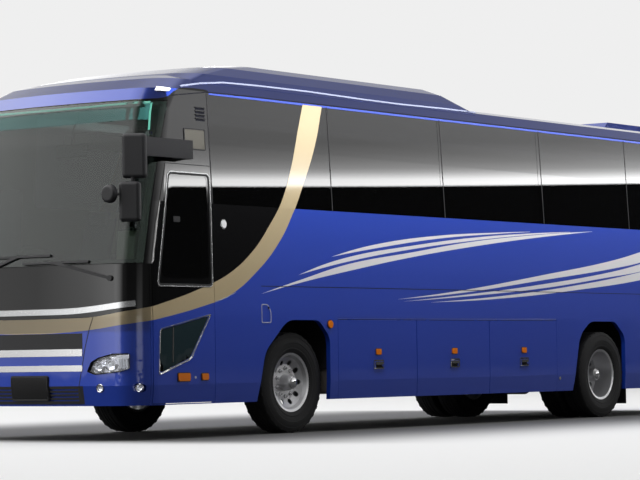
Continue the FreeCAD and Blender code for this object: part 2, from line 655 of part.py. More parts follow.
def rear_pieces():
    back = (size.rear_end + size.panel_gap / 2, size.body_length + size.overrun)
    top = size.rear_bumper_top
    feature("rear_bumper", shell.common(span((-wide, wide), back, (0, top))))
    panel = shell.common(span((-wide, wide), back, (top, size.gutter_height)))
    half, gap = size.lid_half, size.panel_gap
    lid_hole = span((-half - gap, half + gap), back, (0, size.lid_top + size.lid_hinge_room))
    window = rear_opening(-size.glass_seat)
    rebate = rear_opening(0).cut(skin(size.pane_glass + size.skin_gap))
    tails = [outer.cut(skin(size.tail_depth)).common(on_side(tail_zone(0), way)) for way in (1, -1)]
    panel = panel.cut([lid_hole, window, rebate] + tails)
    panel = panel.fuse([lid_barrel(way, 1) for way in (1, -1)])
    feature("rear_panel", panel)
    glass = outer.cut(skin(size.pane_glass))
    feature("rear_window", glass.common(rear_opening(-gap / 2)))
    lens = skin(size.skin_gap).cut(skin(size.tail_depth - size.skin_gap))
    tails = [lens.common(on_side(tail_zone(size.skin_gap), way)) for way in (1, -1)]
    feature("tail_lamps", Part.makeCompound(tails))
    lid = shell.common(span((-half, half), back, (size.rear_bumper_top + gap, size.lid_top)))
    lid = lid.fuse([lid_barrel(way, 0) for way in (1, -1)])
    feature("engine_lid", lid)


def rear_opening(margin):
    half = size.rear_window_half + margin
    bottom, top = size.rear_window_bottom - margin, size.rear_window_top + margin
    corners = ((-half, bottom), (half, bottom), (half, top), (-half, top))
    return front_prism(corners, (size.window_round,) * 4, (size.rear_end, size.body_length + size.overrun))


def lid_axis():
    return Vector(0, size.body_length - size.lid_hinge_radius - size.wall / 2,
                  size.lid_top + size.lid_hinge_rise)


def lid_barrel(way, of_panel):
    axis = lid_axis()
    radius = size.lid_hinge_radius
    length = size.hinge_length
    start = size.lid_half / 2 + (length + size.skin_gap if of_panel else 0)
    barrel = Part.makeCylinder(radius, length, Vector(start, axis.y, axis.z), Vector(1, 0, 0))
    low = axis.z if of_panel else axis.z - size.lid_hinge_rise - radius
    high = axis.z + size.lid_hinge_room - size.lid_hinge_rise + radius if of_panel else axis.z
    ear = span((start, start + length), (axis.y - radius / 2, axis.y + radius / 2), (low, high))
    return on_side(barrel.fuse(ear), way)


def roof_pieces():
    roof = shell.common(span((-wide, wide), whole_length, (size.gutter_height, size.top_height)))
    cap = shell.common(span((-wide, wide), (-size.overrun, size.body_length / 2),
                            (size.screen_head + size.panel_gap, size.gutter_height)))
    lip = backing.common(span((-wide, wide), (-size.overrun, size.body_length / 2),
                              (size.screen_head - size.glass_seat, size.screen_head + size.panel_gap)))
    roof = roof.fuse([cap.cut(behind_edge(0)), lip.cut(behind_edge(-size.glass_seat))])
    feature("roof_shell", roof)
    fairing = skin(0, FAIRING).cut(outer)
    front, half, top = size.unit_front, size.unit_half, size.unit_top
    places = (
        (front, size.cove_height), (front + size.unit_length, size.cove_height),
        (front + size.unit_length, top), (front + size.unit_rake, top),
    )
    unit = side_prism(places, (0,) * 4, (-half, half)).cut(outer)
    feature("roof_fairing", Part.makeCompound([fairing, unit]))


def wheelhouses():
    parts = []
    for name in ("front", "rear"):
        axle = axle_stations[name]
        inner_x = size.house_inner if name == "front" else size.rear_house_inner
        along = (axle - size.house_fore, axle + size.house_rear)
        wall = size.house_wall
        for way in (1, -1):
            case = span((inner_x, wide), along, (size.rail_bottom, size.house_top))
            room = span((inner_x + wall, wide), (along[0] + wall, along[1] - wall), (0, size.house_top - wall))
            house = case.cut(room).common(lining).cut(arch(name))
            if name == "rear":
                flap = span((size.rear_house_inner, size.skirt_half - size.wall - wall),
                            (along[1] - wall, along[1] - wall + size.flap_thick),
                            (size.flap_bottom, size.rail_bottom + wall))
                house = house.fuse(flap)
            parts.append(on_side(house, way))
    feature("wheelhouses", Part.makeCompound(parts))


def floors():
    deck = span((-wide, wide), (size.deck_start, size.deck_rear),
                (size.deck_bottom, size.deck_bottom + size.deck_thick)).common(lining)
    platform_top = size.platform_bottom + size.platform_thick
    platform = span((-wide, size.platform_side), (size.platform_start, size.deck_start),
                    (size.platform_bottom, platform_top)).common(lining)
    riser = span((-wide, wide), (size.deck_start, size.deck_start + size.platform_thick),
                 (size.platform_bottom, size.deck_bottom)).common(lining)
    steps = []
    count = int(size.step_count)
    rise = (platform_top - size.step_first) / (count - 1)
    going = (size.skirt_half - size.wall - size.platform_side) / count
    for index in range(count):
        outer_x = size.platform_side + going * (count - index)
        height = size.step_first + rise * index
        steps.append(span((size.platform_side, outer_x), (size.door_front, size.deck_start),
                          (height - size.platform_thick, height)))
        steps.append(span((outer_x - going - size.bulkhead, outer_x - going),
                          (size.door_front, size.door_rear), (height - size.platform_thick, height + rise)))
    stairs = steps[0].fuse(steps[1:]).common(lining)
    stairs = stairs.common(span((0, wide), (size.door_front, size.door_rear), (0, platform_top)))
    landing = span((size.platform_side, wide), (size.door_rear, size.deck_start),
                   (size.platform_bottom, platform_top)).common(lining)
    feature("floor_deck", deck.fuse([platform, riser, stairs, landing]))
    along = (size.hold_start, size.hold_end)
    hold = span((-wide, wide), along, (size.hold_bottom, size.hold_bottom + size.hold_thick))
    front = span((-wide, wide), (along[0], along[0] + size.bulkhead), (size.hold_bottom, size.deck_bottom))
    rear = span((-wide, wide), (along[1] - size.bulkhead, along[1]), (size.hold_bottom, size.deck_bottom))
    posts = []
    for index in range(1, int(size.locker_count)):
        middle = size.locker_start + index * size.locker_pitch
        for way in (1, -1):
            inside = size.skirt_half - size.wall - size.post_width
            widths = sorted((way * inside, way * wide))
            posts.append(span(widths, (middle - size.post_width / 2, middle + size.post_width / 2),
                              (size.hold_bottom, size.deck_bottom)))
    feature("luggage_floor", hold.fuse([front, rear] + posts).common(lining))


def underframe():
    parts = []
    spans = (("front", "rail_start", "hold_start - rail_start"),
             ("rear", "hold_end", "rail_rear - hold_end"))
    for place, start, length in spans:
        for side, across in (("left", "rail_half"), ("right", "-rail_half - rail_width")):
            parts.append(block(f"{place}_{side}_rail", (across, start, "rail_bottom"),
                               ("rail_width", length, "rail_height")))
    outer_reach = "skirt_half - wall - skin_gap"
    inner_reach = "rail_half + rail_width"
    crosses = (("rail_start", outer_reach), ("hold_start - cross_width", inner_reach),
               ("hold_end", outer_reach), ("engine_front - 2 * cross_width", outer_reach),
               ("rail_rear - cross_width", inner_reach))
    for index, (station, reach) in enumerate(crosses, start=1):
        parts.append(block(f"cross_{index}", (f"-({reach})", station, "rail_bottom"),
                           (f"2 * ({reach})", "cross_width", "rail_height / 2")))
    for place in ("front", "rear"):
        for side, across in (("left", "rail_half"), ("right", "-rail_half - pad_size")):
            parts.append(block(f"{place}_{side}_jack_pad",
                               (across, f"{place}_pad", "rail_bottom - pad_thick"),
                               ("pad_size", "pad_size", "pad_thick")))
    publish(joined("underframe", parts), "underframe")


def tyre(name, offsets):
    corners = (
        ("-bead_half", "seat_radius"), ("-bead_half", "flange_radius + skin_gap"),
        ("-tyre_half", "sidewall_radius - seat_radius / 4"),
        ("-tyre_half", "sidewall_radius"), ("-shoulder_half", "tyre_radius - shoulder_drop"),
        ("-shoulder_half + shoulder_drop", "tyre_radius"), ("shoulder_half - shoulder_drop", "tyre_radius"),
        ("shoulder_half", "tyre_radius - shoulder_drop"), ("tyre_half", "sidewall_radius"),
        ("tyre_half", "sidewall_radius - seat_radius / 4"), ("bead_half", "flange_radius + skin_gap"),
        ("bead_half", "seat_radius"),
    )
    bodies = []
    for index, offset in enumerate(offsets):
        body = turned(f"{name}_ring_{index + 1}", corners)
        body.setExpression("Placement.Base.x", bind(offset))
        bodies.append(body)
    if len(bodies) == 1:
        return bodies[0]
    pair = doc.addObject("Part::Compound", name)
    pair.Links = bodies
    return pair


def rim_section(disc_face, hub_out):
    return (
        ("-bead_half - flange_thick", "flange_radius"), ("-bead_half - skin_gap", "flange_radius"),
        ("-bead_half - skin_gap", "seat_radius - skin_gap"),
        ("bead_half + skin_gap", "seat_radius - skin_gap"),
        ("bead_half + skin_gap", "flange_radius"), ("bead_half + flange_thick", "flange_radius"),
        ("bead_half", "seat_radius - barrel_wall"), (f"{disc_face} + disc_thick", "disc_radius"),
        (f"{disc_face} + disc_thick - disc_dish", "land_radius"),
        (f"{disc_face} + disc_thick - disc_dish", "hub_radius"), (hub_out, "hub_radius - disc_thick"),
        (f"{hub_out} + cap_thick", "cap_radius"), (f"{hub_out} + cap_thick", "0"), (hub_out, "0"),
        (hub_out, "spindle_radius + bearing_gap"), ("-hub_in", "spindle_radius + bearing_gap"),
        ("-hub_in", "hub_radius + disc_thick"), (f"{disc_face} - disc_dish", "land_radius"),
        (disc_face, "disc_radius - barrel_wall"), ("-bead_half", "seat_radius - barrel_wall"),
    )


def pierced(body, name):
    sketch = body.newObject("Sketcher::SketchObject", name + "_hole")
    plane = next(item for item in body.Origin.OriginFeatures if item.Role == "YZ_Plane")
    sketch.AttachmentSupport = [(plane, "")]
    sketch.MapMode = "FlatFace"
    centre = Vector(SOLVER_START, 0, 0)
    sketch.addGeometry(Part.Circle(centre, Vector(0, 0, 1), SOLVER_START), False)
    across = sketch.addConstraint(Sketcher.Constraint("DistanceX", -1, 1, 0, 3, SOLVER_START))
    sketch.addConstraint(Sketcher.Constraint("PointOnObject", 0, 3, -1))
    radius = sketch.addConstraint(Sketcher.Constraint("Radius", 0, SOLVER_START))
    sketch.setExpression(f"Constraints[{across}]", bind("hole_circle"))
    sketch.setExpression(f"Constraints[{radius}]", bind("hand_hole_radius"))
    pocket = body.newObject("PartDesign::Pocket", name + "_pocket")
    pocket.Profile = sketch
    pocket.Type = 1
    pocket.Midplane = True
    pattern = body.newObject("PartDesign::PolarPattern", name + "_holes")
    pattern.Originals = [pocket]
    axis = next(item for item in body.Origin.OriginFeatures if item.Role == "X_Axis")
    pattern.Axis = (axis, [""])
    pattern.Angle = 360
    pattern.setExpression("Occurrences", bind("hand_holes"))
    body.Tip = pattern


def place_wheel(piece, name, way, track, along):
    piece.Placement = Placement(Vector(), Rotation(Vector(0, 0, 1), 0 if way > 0 else 180))
    publish(piece, name, along=along, across=f"{way} * {track} / 2", up="tyre_radius")


def wheels():
    rear_station = "front_axle_station + wheelbase"
    for side, way in (("left", 1), ("right", -1)):
        place_wheel(tyre(f"front_{side}_tyre", ("0",)), f"front_{side}_tyre", way, "front_track",
                    "front_axle_station")
        rim = turned(f"front_{side}_rim", rim_section("disc_face", "hub_out"))
        pierced(rim, f"front_{side}_rim")
        place_wheel(rim, f"front_{side}_rim", way, "front_track", "front_axle_station")
        twins = tyre(f"rear_{side}_tyres", ("twin_spacing / 2", "-twin_spacing / 2"))
        place_wheel(twins, f"rear_{side}_tyres", way, "rear_track", rear_station)
        feature(f"rear_{side}_rims", twin_rim(way))


# Two deep-dished rims back to back on one hub.
def twin_rim(way):
    centre = Vector(size.rear_track / 2, axle_stations["rear"], size.tyre_radius)
    out = size.twin_spacing / 2
    bead, flange, barrel = size.bead_half, size.flange_radius, size.barrel_wall
    seat = size.seat_radius - size.skin_gap
    bore = size.spindle_radius + size.bearing_gap
    thick, face = size.disc_thick, size.rear_disc_face
    outer_half = (
        (face, seat - barrel), (out - bead - size.flange_thick, flange), (out - bead - size.skin_gap, flange),
        (out - bead - size.skin_gap, seat), (out + bead + size.skin_gap, seat),
        (out + bead + size.skin_gap, flange), (out + bead + size.flange_thick, flange),
        (out + bead, seat - barrel),
        (face + thick * 2, seat - barrel), (face + thick, size.land_radius),
        (face + thick, size.hub_radius), (out + size.rear_hub_out - thick, size.hub_radius - thick),
        (out + size.rear_hub_out, size.cap_radius), (out + size.rear_hub_out, 0),
        (out + size.rear_hub_out - size.cap_thick, 0), (out + size.rear_hub_out - size.cap_thick, bore),
        (0, bore), (0, size.land_radius), (face - thick, seat - barrel * 2),
    )
    inner_half = (
        (0, bore), (-out, bore), (-out, size.hub_radius), (-thick, size.hub_radius + thick),
        (-thick, size.land_radius), (-face - thick, seat - barrel), (-out - bead, seat - barrel),
        (-out - bead - size.flange_thick, flange), (-out - bead - size.skin_gap, flange),
        (-out - bead - size.skin_gap, seat), (-out + bead + size.skin_gap, seat),
        (-out + bead + size.skin_gap, flange), (-out + bead + size.flange_thick, flange),
        (-face, seat - barrel), (0, size.land_radius),
    )
    solids = []
    for half in (outer_half, inner_half):
        points = [centre + Vector(across, 0, radius) for across, radius in half]
        section = Part.Face(Part.makePolygon(points + points[:1]))
        solids.append(section.revolve(centre, Vector(1, 0, 0), 360))
    rim = solids[0].fuse(solids[1])
    holes = []
    count = int(size.hand_holes)
    for index in range(count):
        turn = 2 * math.pi * index / count
        foot = centre + Vector(-out, size.hole_circle * math.cos(turn), size.hole_circle * math.sin(turn))
        holes.append(Part.makeCylinder(size.hand_hole_radius, size.twin_spacing, foot, Vector(1, 0, 0)))
    return on_side(rim.cut(holes), way)


def knuckles():
    for side, way in (("left", 1), ("right", -1)):
        x = size.kingpin_half
        station, height = size.front_axle_station, size.tyre_radius
        hub_x = size.front_track / 2 - size.hub_in
        boss_low = height - size.knuckle_height / 2
        fork = Part.makeCylinder(size.knuckle_radius, size.knuckle_height, Vector(x, station, boss_low))
        gap = Part.makeCylinder(size.eye_radius + size.wall, size.eye_height + 2 * size.bearing_gap,
                                Vector(x, station, height - size.eye_height / 2 - size.bearing_gap))
        pin = Part.makeCylinder(size.kingpin_radius, size.knuckle_height, Vector(x, station, boss_low))
        flange_x = hub_x - size.panel_gap - size.cap_thick
        web = span((x, flange_x), (station - size.kingpin_radius, station + size.kingpin_radius),
                   (boss_low, boss_low + size.knuckle_height))
        clearance = span((x - size.overrun, x + size.eye_radius + size.panel_gap),
                         (station - size.overrun, station + size.overrun),
                         (height - size.eye_height / 2 - size.bearing_gap,
                          height + size.eye_height / 2 + size.bearing_gap))
        plate = Part.makeCylinder(size.knuckle_height / 2, size.cap_thick, Vector(flange_x, station, height),
                                  Vector(1, 0, 0))
        end = size.front_track / 2 + size.hub_out - size.cap_thick
        spindle = Part.makeCylinder(size.spindle_radius, end - flange_x, Vector(flange_x, station, height),
                                    Vector(1, 0, 0))
        arm = span((x - size.steer_arm_width / 2, x + size.steer_arm_width / 2),
                   (station, station + size.steer_arm_length), (boss_low, boss_low + size.steer_arm_width))
        body = fork.fuse(web).cut([gap, clearance]).fuse([pin, plate, spindle, arm])
        feature(f"{side}_knuckle", on_side(body, way))


def front_axle():
    station, height = size.front_axle_station, size.tyre_radius
    bore = size.kingpin_radius + size.bearing_gap
    low = height - size.eye_height / 2
    parts = []
    x = size.kingpin_half
    for way in (1, -1):
        parts.append(Part.makeCylinder(size.eye_radius, size.eye_height, Vector(way * x, station, low)))
    width = size.beam_width / 2
    section = (
        (x, low + size.eye_height), (x, low), (x - size.beam_shelf, low),
        (size.beam_half, low - size.beam_drop), (-size.beam_half, low - size.beam_drop),
        (size.beam_shelf - x, low), (-x, low), (-x, low + size.eye_height),
        (size.beam_shelf - x, low + size.eye_height), (-size.beam_half, low - size.beam_drop + size.beam_depth),
        (size.beam_half, low - size.beam_drop + size.beam_depth), (x - size.beam_shelf, low + size.eye_height),
    )
    points = [Vector(across, station - width, up) for across, up in section]
    beam = Part.Face(Part.makePolygon(points + points[:1])).extrude(Vector(0, size.beam_width, 0))
    axle = beam.fuse(parts)
    top = size.rail_bottom
    for way in (1, -1):
        foot = Vector(way * (size.rail_half + size.rail_width / 2), station, low - size.beam_drop)
        axle = axle.fuse(Part.makeCylinder(size.beam_width / 2, top - foot.z, foot))
    bores = [Part.makeCylinder(bore, size.knuckle_height, Vector(way * x, station, low - size.wall))
             for way in (1, -1)]
    feature("front_axle", axle.cut(bores))


def rear_axle():
    end = "rear_track / 2 + twin_spacing / 2 + rear_hub_out - 2 * cap_thick"
    inside = "rear_track / 2 - twin_spacing / 2 - panel_gap"
    half = (
        (end, "0"), (end, "spindle_radius"), (inside, "spindle_radius"), (inside, "tube_radius"),
        ("diff_radius", "tube_radius"), ("diff_radius / 2", "diff_radius"),
    )
    far_half = tuple((f"-({across})", radius) for across, radius in reversed(half))
    parts = [turned("rear_axle_beam", half + far_half)]
    for side, way, across in (("left", "1", "rail_half"), ("right", "-1", "-rail_half - rail_width")):
        parts.append(block(f"{side}_link", (across, "-spring_reach - spring_radius", "-link_drop"),
                           ("rail_width", "2 * (spring_reach + spring_radius)", "link_height")))
        parts.append(block(f"{side}_seat", (across, "-rail_width / 2", "-link_drop"),
                           ("rail_width", "rail_width", "link_drop")))
        for end in ("-1", "1"):
            place = (f"{way} * (rail_half + rail_width / 2)", f"{end} * spring_reach", "-link_drop")
            parts.append(round_bar(f"{side}_bellows_{len(parts)}", place, "spring_radius",
                                   "rail_bottom - tyre_radius + link_drop"))
    publish(joined("rear_axle", parts), "rear_axle", along="front_axle_station + wheelbase", up="tyre_radius")


def passenger_door():
    leaf = shell.common(door_outline(0))
    rebate = skin(size.pane_glass + size.skin_gap)
    leaf = leaf.cut(door_windows(-size.glass_seat) + [window.cut(rebate) for window in door_windows(0)])
    bosses = []
    for height in (size.arm_low, size.arm_high):
        bosses.append(Part.makeCylinder(size.door_boss, size.door_boss,
                                        Vector(size.arm_half, size.arm_front + size.arm_length,
                                               height + size.arm_radius + size.skin_gap)))
        bosses.append(span((size.arm_half, size.skirt_half - size.wall + size.panel_gap),
                           (size.arm_front + size.arm_length - size.door_boss / 2,
                            size.arm_front + size.arm_length + size.door_boss / 2),
                           (height + size.arm_radius + size.skin_gap,
                            height + size.arm_radius + size.skin_gap + size.door_boss)))
    feature("passenger_door", leaf.fuse(bosses))
    glass = outer.cut(skin(size.pane_glass))
    openings = door_windows(-size.panel_gap / 2)
    feature("door_glass", Part.makeCompound([glass.common(window) for window in openings]))
    pivot = Vector(size.arm_half, size.arm_front, 0)
    post_foot = size.step_first + size.skin_gap
    post = Part.makeCylinder(size.post_radius, size.post_head - post_foot, pivot + Vector(0, 0, post_foot))
    turn = math.radians(size.elbow_turn)
    elbow = Vector(math.cos(turn), math.sin(turn), 0) * size.elbow_reach
    arms = []
    for height in (size.arm_low, size.arm_high):
        start = pivot + Vector(0, 0, height)
        middle = start + elbow
        end = start + Vector(0, size.arm_length, 0)
        for a, b in ((start, middle), (middle, end)):
            arms.append(Part.makeCylinder(size.arm_radius, (b - a).Length, a, b - a))
        arms.append(Part.makeSphere(size.arm_radius, middle))
        arms.append(Part.makeCylinder(size.arm_radius, 2 * size.arm_radius,
                                      end - Vector(0, 0, size.arm_radius)))
    feature("door_arm", post.fuse(arms))


# A mirror housing turned towards the driver, its rear face sunk for the glass.
def housing(station, bottom, width, height):
    depth, rim = size.mirror_depth, size.mirror_rim
    x = size.mirror_half
    case = span((x - width / 2, x + width / 2), (station - depth / 2, station + depth / 2),
                (bottom, bottom + height))
    case = case.makeFillet(size.mirror_round, case.Edges)
    sink = span((x - width / 2 + rim, x + width / 2 - rim),
                (station + depth / 2 - size.glass_sink, station + depth),
                (bottom + rim, bottom + height - rim))
    case = case.cut(sink)
    case.rotate(Vector(x, station, 0), Vector(0, 0, 1), size.mirror_turn)
    return case


def mirrors():
    x = size.mirror_half
    main = housing(size.mirror_station, size.mirror_bottom, size.mirror_width, size.mirror_height)
    second = housing(size.second_station, size.second_bottom, size.second_width, size.second_height)
    rod = Part.makeCylinder(size.stay_radius, size.mirror_bottom - size.second_bottom,
                            Vector(x, size.mirror_station / 2, size.second_bottom + size.wall))
    stay = span((x - size.stay_width / 2, x + size.stay_width / 2), (size.mirror_station, size.stay_rear),
                (size.stay_bottom, size.stay_bottom + size.stay_height))
    foot = span((size.belt_half - size.wall, x), (size.stay_rear - size.stay_height, size.stay_rear),
                (size.stay_bottom, size.stay_bottom + size.stay_height)).cut(outer)
    round_x = size.round_half
    dish = Part.makeCylinder(size.round_radius, size.round_depth,
                             Vector(round_x, -size.mirror_lead, size.round_height), Vector(0, 1, 0))
    front_edge = [edge for edge in dish.Edges if abs(edge.BoundBox.YMax + size.mirror_lead) < size.skin_gap]
    dish = dish.makeFillet(size.round_depth / 2, front_edge)
    reach = size.mirror_lead + size.second_station
    bar = Part.makeCylinder(size.stay_radius / 2, reach,
                            Vector(round_x, -size.mirror_lead + size.round_depth / 2, size.round_height),
                            Vector(0, 1, 0))
    link = Part.makeCylinder(size.stay_radius / 2, x - round_x,
                             Vector(round_x, size.second_station, size.round_height), Vector(1, 0, 0))
    whole = main.fuse([second, rod, stay, foot, dish, bar, link])
    feature("mirrors", Part.makeCompound([whole, on_side(whole, -1)]))


def inside():
    dash = span((-wide, size.platform_side), (size.dash_front, size.dash_front + size.dash_depth),
                (size.platform_bottom + size.platform_thick, size.dash_top))
    shelf = span((-wide, size.well_side), (-size.overrun, size.dash_front + size.dash_depth / 2),
                 (size.dash_bottom, size.dash_top))
    feature("dashboard", dash.fuse(shelf).common(lining))
    centre = Vector(-size.driver_half, size.wheel_station, size.wheel_height)
    tilt = Rotation(Vector(1, 0, 0), size.wheel_tilt - 90)
    axis = tilt.multVec(Vector(0, 0, 1))
    rim = Part.makeTorus(size.wheel_radius, size.wheel_rim_radius, centre, axis)
    spoke = Part.makeCylinder(size.wheel_rim_radius, 2 * size.wheel_radius,
                              centre - Vector(size.wheel_radius, 0, 0), Vector(1, 0, 0))
    foot_height = size.platform_bottom + size.platform_thick
    reach = (size.wheel_height - foot_height) / axis.z
    column = Part.makeCylinder(size.column_radius, reach, centre, -axis)
    keep = span((-wide, wide), (0, size.body_length), (foot_height, size.top_height))
    wheel = rim.fuse([spoke, column]).common(keep)
    feature("steering_wheel", wheel.cut(dash.fuse(shelf)))


# One seat in side view: rounded cushion, raked back and pedestal, pushed across its width.
def seat_form(station, floor, widths):
    cushion = floor + size.cushion_height
    low = cushion - size.cushion_thick
    depth, back, rake = size.seat_depth, size.back_thick, size.back_rake
    top = cushion + size.back_height
    places = (
        (station, low), (station + depth / 2, low), (station + depth / 2, floor),
        (station + depth, floor), (station + depth, low), (station + depth + back, low),
        (station + depth + back + rake, top), (station + depth + rake, top),
        (station + depth, cushion), (station, cushion),
    )
    bend = size.seat_round
    return side_prism(places, (bend, 0, 0, 0, 0, bend, bend, bend, 0, bend), widths)


def head_rest(station, floor, middle):
    top = floor + size.cushion_height + size.back_height
    back = station + size.seat_depth + size.back_rake
    slope = size.back_rake * size.head_height / size.back_height
    places = (
        (back - slope - size.head_out, top - size.head_height), (back - slope, top - size.head_height),
        (back + size.back_thick / 2, top), (back - size.head_out, top),
    )
    return side_prism(places, (size.head_round, 0, 0, size.head_round),
                      (middle - size.head_width / 2, middle + size.head_width / 2))


def arm_rest(station, floor, edge):
    height = floor + size.cushion_height + size.rest_height
    return span((edge, edge + size.rest_width),
                (station + size.rest_start, station + size.seat_depth + size.back_thick),
                (height, height + size.rest_thick))


# Two seats side by side, parted above the cushion.
def bench(station, floor):
    inner, width = size.seat_inner, size.seat_width
    middle = inner + width / 2
    cushion = floor + size.cushion_height
    form = seat_form(station, floor, (inner, inner + width))
    parting = span((middle - size.seat_split / 2, middle + size.seat_split / 2),
                   (station, station + size.seat_pitch),
                   (cushion + size.seat_round, cushion + 2 * size.back_height))
    heads = [head_rest(station, floor, inner + width * share) for share in (1 / 4, 3 / 4)]
    return form.cut(parting).fuse(heads + [arm_rest(station, floor, inner)])


def seats():
    floor = size.deck_bottom + size.deck_thick + size.skin_gap
    rows = []
    for index in range(int(size.seat_rows)):
        row = bench(size.seat_first + index * size.seat_pitch, floor).common(lining)
        rows += [row, on_side(row, -1)]
    feature("passenger_seats", Part.makeCompound(rows))
    platform = size.platform_bottom + size.platform_thick + size.skin_gap
    start, foot = size.wheel_station + size.wheel_radius, platform + size.seat_leg / 2
    half = size.seat_width / 4
    pad = seat_form(start, foot, (-size.driver_half - half, half - size.driver_half))
    pad = pad.fuse(head_rest(start, foot, -size.driver_half))
    station = start + size.seat_depth / 2
    pedestal = span((-size.driver_half - half, half - size.driver_half),
                    (station, station + size.seat_depth / 2), (platform, platform + size.seat_leg / 2))
    feature("driver_seat", pad.fuse(pedestal))


def engine():
    box = block("engine_case", ("-engine_half", "engine_front", "rail_bottom + rail_height + skin_gap"),
                ("2 * engine_half", "engine_length", "engine_top - rail_bottom - rail_height"))
    publish(joined("engine_block", [box, block(
        "engine_sump", ("-rail_half + skin_gap", "engine_front", "engine_bottom"),
        ("2 * rail_half - 2 * skin_gap", "engine_length",
         "rail_bottom + rail_height + 2 * skin_gap - engine_bottom"))]), "engine_block")


# A bar of the wipers lying on the screen, from one place to another.
def wiper_bar(start, end, width):
    along = (Vector(end[0], 0, end[1]) - Vector(start[0], 0, start[1])).normalize()
    across = Vector(-along.z, 0, along.x) * (width / 2)
    corners = [(point[0] + way * across.x, point[1] + way * across.z)
               for point, way in ((start, -1), (end, -1), (end, 1), (start, 1))]
    return front_prism(corners, (0,) * 4, (-size.overrun, size.front_end))


def wipers():
    layer = skin(-size.wiper_stand).cut(skin(-size.skin_gap))
    places = (
        (1, size.blade_height, size.blade_start, size.blade_end),
        (-1, size.far_blade_height, size.far_blade_start, size.far_blade_end),
    )
    pair = []
    for way, height, start, end in places:
        pivot = (way * size.pivot_half, size.pivot_height)
        blade = wiper_bar((start, height), (end, height), size.blade_width)
        arm = wiper_bar(pivot, ((start + end) / 2, height), size.arm_width)
        boss = Part.makeCylinder(size.pivot_radius, size.overrun + size.front_end,
                                 Vector(pivot[0], -size.overrun, pivot[1]), Vector(0, 1, 0))
        pair.append(layer.common(blade.fuse([arm, boss])))
    feature("wipers", Part.makeCompound(pair))


def write_parts():
    doc.recompute()
    problems = [item.Name for item in doc.Objects if "Invalid" in item.State or "Error" in item.State]
    for piece in pieces:
        shape = piece.Shape
        if shape.isNull() or not shape.isValid() or shape.Volume <= 0:
            problems.append(piece.Label)
    if problems:
        raise RuntimeError("failed: " + ", ".join(problems))
    os.makedirs("parts", exist_ok=True)
    for piece in pieces:
        piece.Shape.exportStep(f"parts/{piece.Label}.step")
        print(piece.Label, len(piece.Shape.Solids))


underframe()
floors()
wheelhouses()
side_wall(1)
side_wall(-1)
roof_pieces()
front_pieces()
rear_pieces()
windscreen()
side_glass()
feature("marker_lamps", Part.makeCompound(lamps()))
locker_doors()
passenger_door()
mirrors()
wheels()
knuckles()
front_axle()
rear_axle()
inside()
seats()
engine()
wipers()
write_parts()
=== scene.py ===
import math
from functools import partial

import bmesh
import bpy
from mathutils import Matrix, Vector
from mathutils.bvhtree import BVHTree


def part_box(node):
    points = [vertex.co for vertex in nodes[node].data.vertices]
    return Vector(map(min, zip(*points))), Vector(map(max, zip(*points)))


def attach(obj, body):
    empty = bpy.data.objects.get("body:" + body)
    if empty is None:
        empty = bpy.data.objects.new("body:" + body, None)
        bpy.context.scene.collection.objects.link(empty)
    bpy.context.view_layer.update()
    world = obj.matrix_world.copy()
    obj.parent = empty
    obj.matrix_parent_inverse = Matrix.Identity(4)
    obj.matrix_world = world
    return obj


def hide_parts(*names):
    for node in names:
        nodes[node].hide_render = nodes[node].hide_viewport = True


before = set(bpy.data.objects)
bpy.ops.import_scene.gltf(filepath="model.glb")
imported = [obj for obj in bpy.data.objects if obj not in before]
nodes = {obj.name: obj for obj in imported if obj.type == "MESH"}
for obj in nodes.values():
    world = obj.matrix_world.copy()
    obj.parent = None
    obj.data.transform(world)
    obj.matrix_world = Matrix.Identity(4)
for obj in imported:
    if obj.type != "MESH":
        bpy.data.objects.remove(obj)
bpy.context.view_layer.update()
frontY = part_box("front_bumper")[0].y      # stations run rearwards from the bumper's face
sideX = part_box("left_side_wall")[1].x
sides = ((1, "left"), (-1, "right"))
print("frame loaded:", len(nodes), "nodes")


# the pieces' shared helpers
def linear(*colour):
    shares = [value / 255 for value in colour]
    return (*[share / 12.92 if share <= 0.04045 else ((share + 0.055) / 1.055) ** 2.4 for share in shares], 1)


def feed(tree, value, socket):
    if isinstance(value, bpy.types.NodeSocket):
        tree.links.new(value, socket)
    else:
        socket.default_value = value


def calc(tree, operation, *values):
    node = tree.nodes.new("ShaderNodeMath")
    node.operation = operation
    for index, value in enumerate(values):
        feed(tree, value, node.inputs[index])
    return node.outputs[0]


def mixed(tree, factor, low, high, kind, first, out):
    node = tree.nodes.new("ShaderNodeMix")
    node.data_type = kind
    for index, value in ((0, factor), (first, low), (first + 1, high)):
        feed(tree, value, node.inputs[index])
    return node.outputs[out]


def mixColour(tree, factor, low, high):
    return mixed(tree, factor, low, high, "RGBA", 6, 2)


def blend(tree, factor, low, high):
    return mixed(tree, factor, low, high, "FLOAT", 2, 0)


def noise(tree, vector, scale, detail):
    node = tree.nodes.new("ShaderNodeTexNoise")
    feed(tree, vector, node.inputs["Vector"])
    feed(tree, scale, node.inputs["Scale"])
    node.inputs["Detail"].default_value = detail
    return node.outputs["Fac"]


def remap(tree, value, fromLow, fromHigh, toLow=0.0, toHigh=1.0):
    node = tree.nodes.new("ShaderNodeMapRange")
    for index, item in enumerate((value, fromLow, fromHigh, toLow, toHigh)):
        feed(tree, item, node.inputs[index])
    return node.outputs[0]


def place3(tree, label="Object"):
    node = tree.nodes.new("ShaderNodeSeparateXYZ")
    feed(tree, tree.nodes.new("ShaderNodeTexCoord").outputs[label], node.inputs[0])
    return tuple(node.outputs)


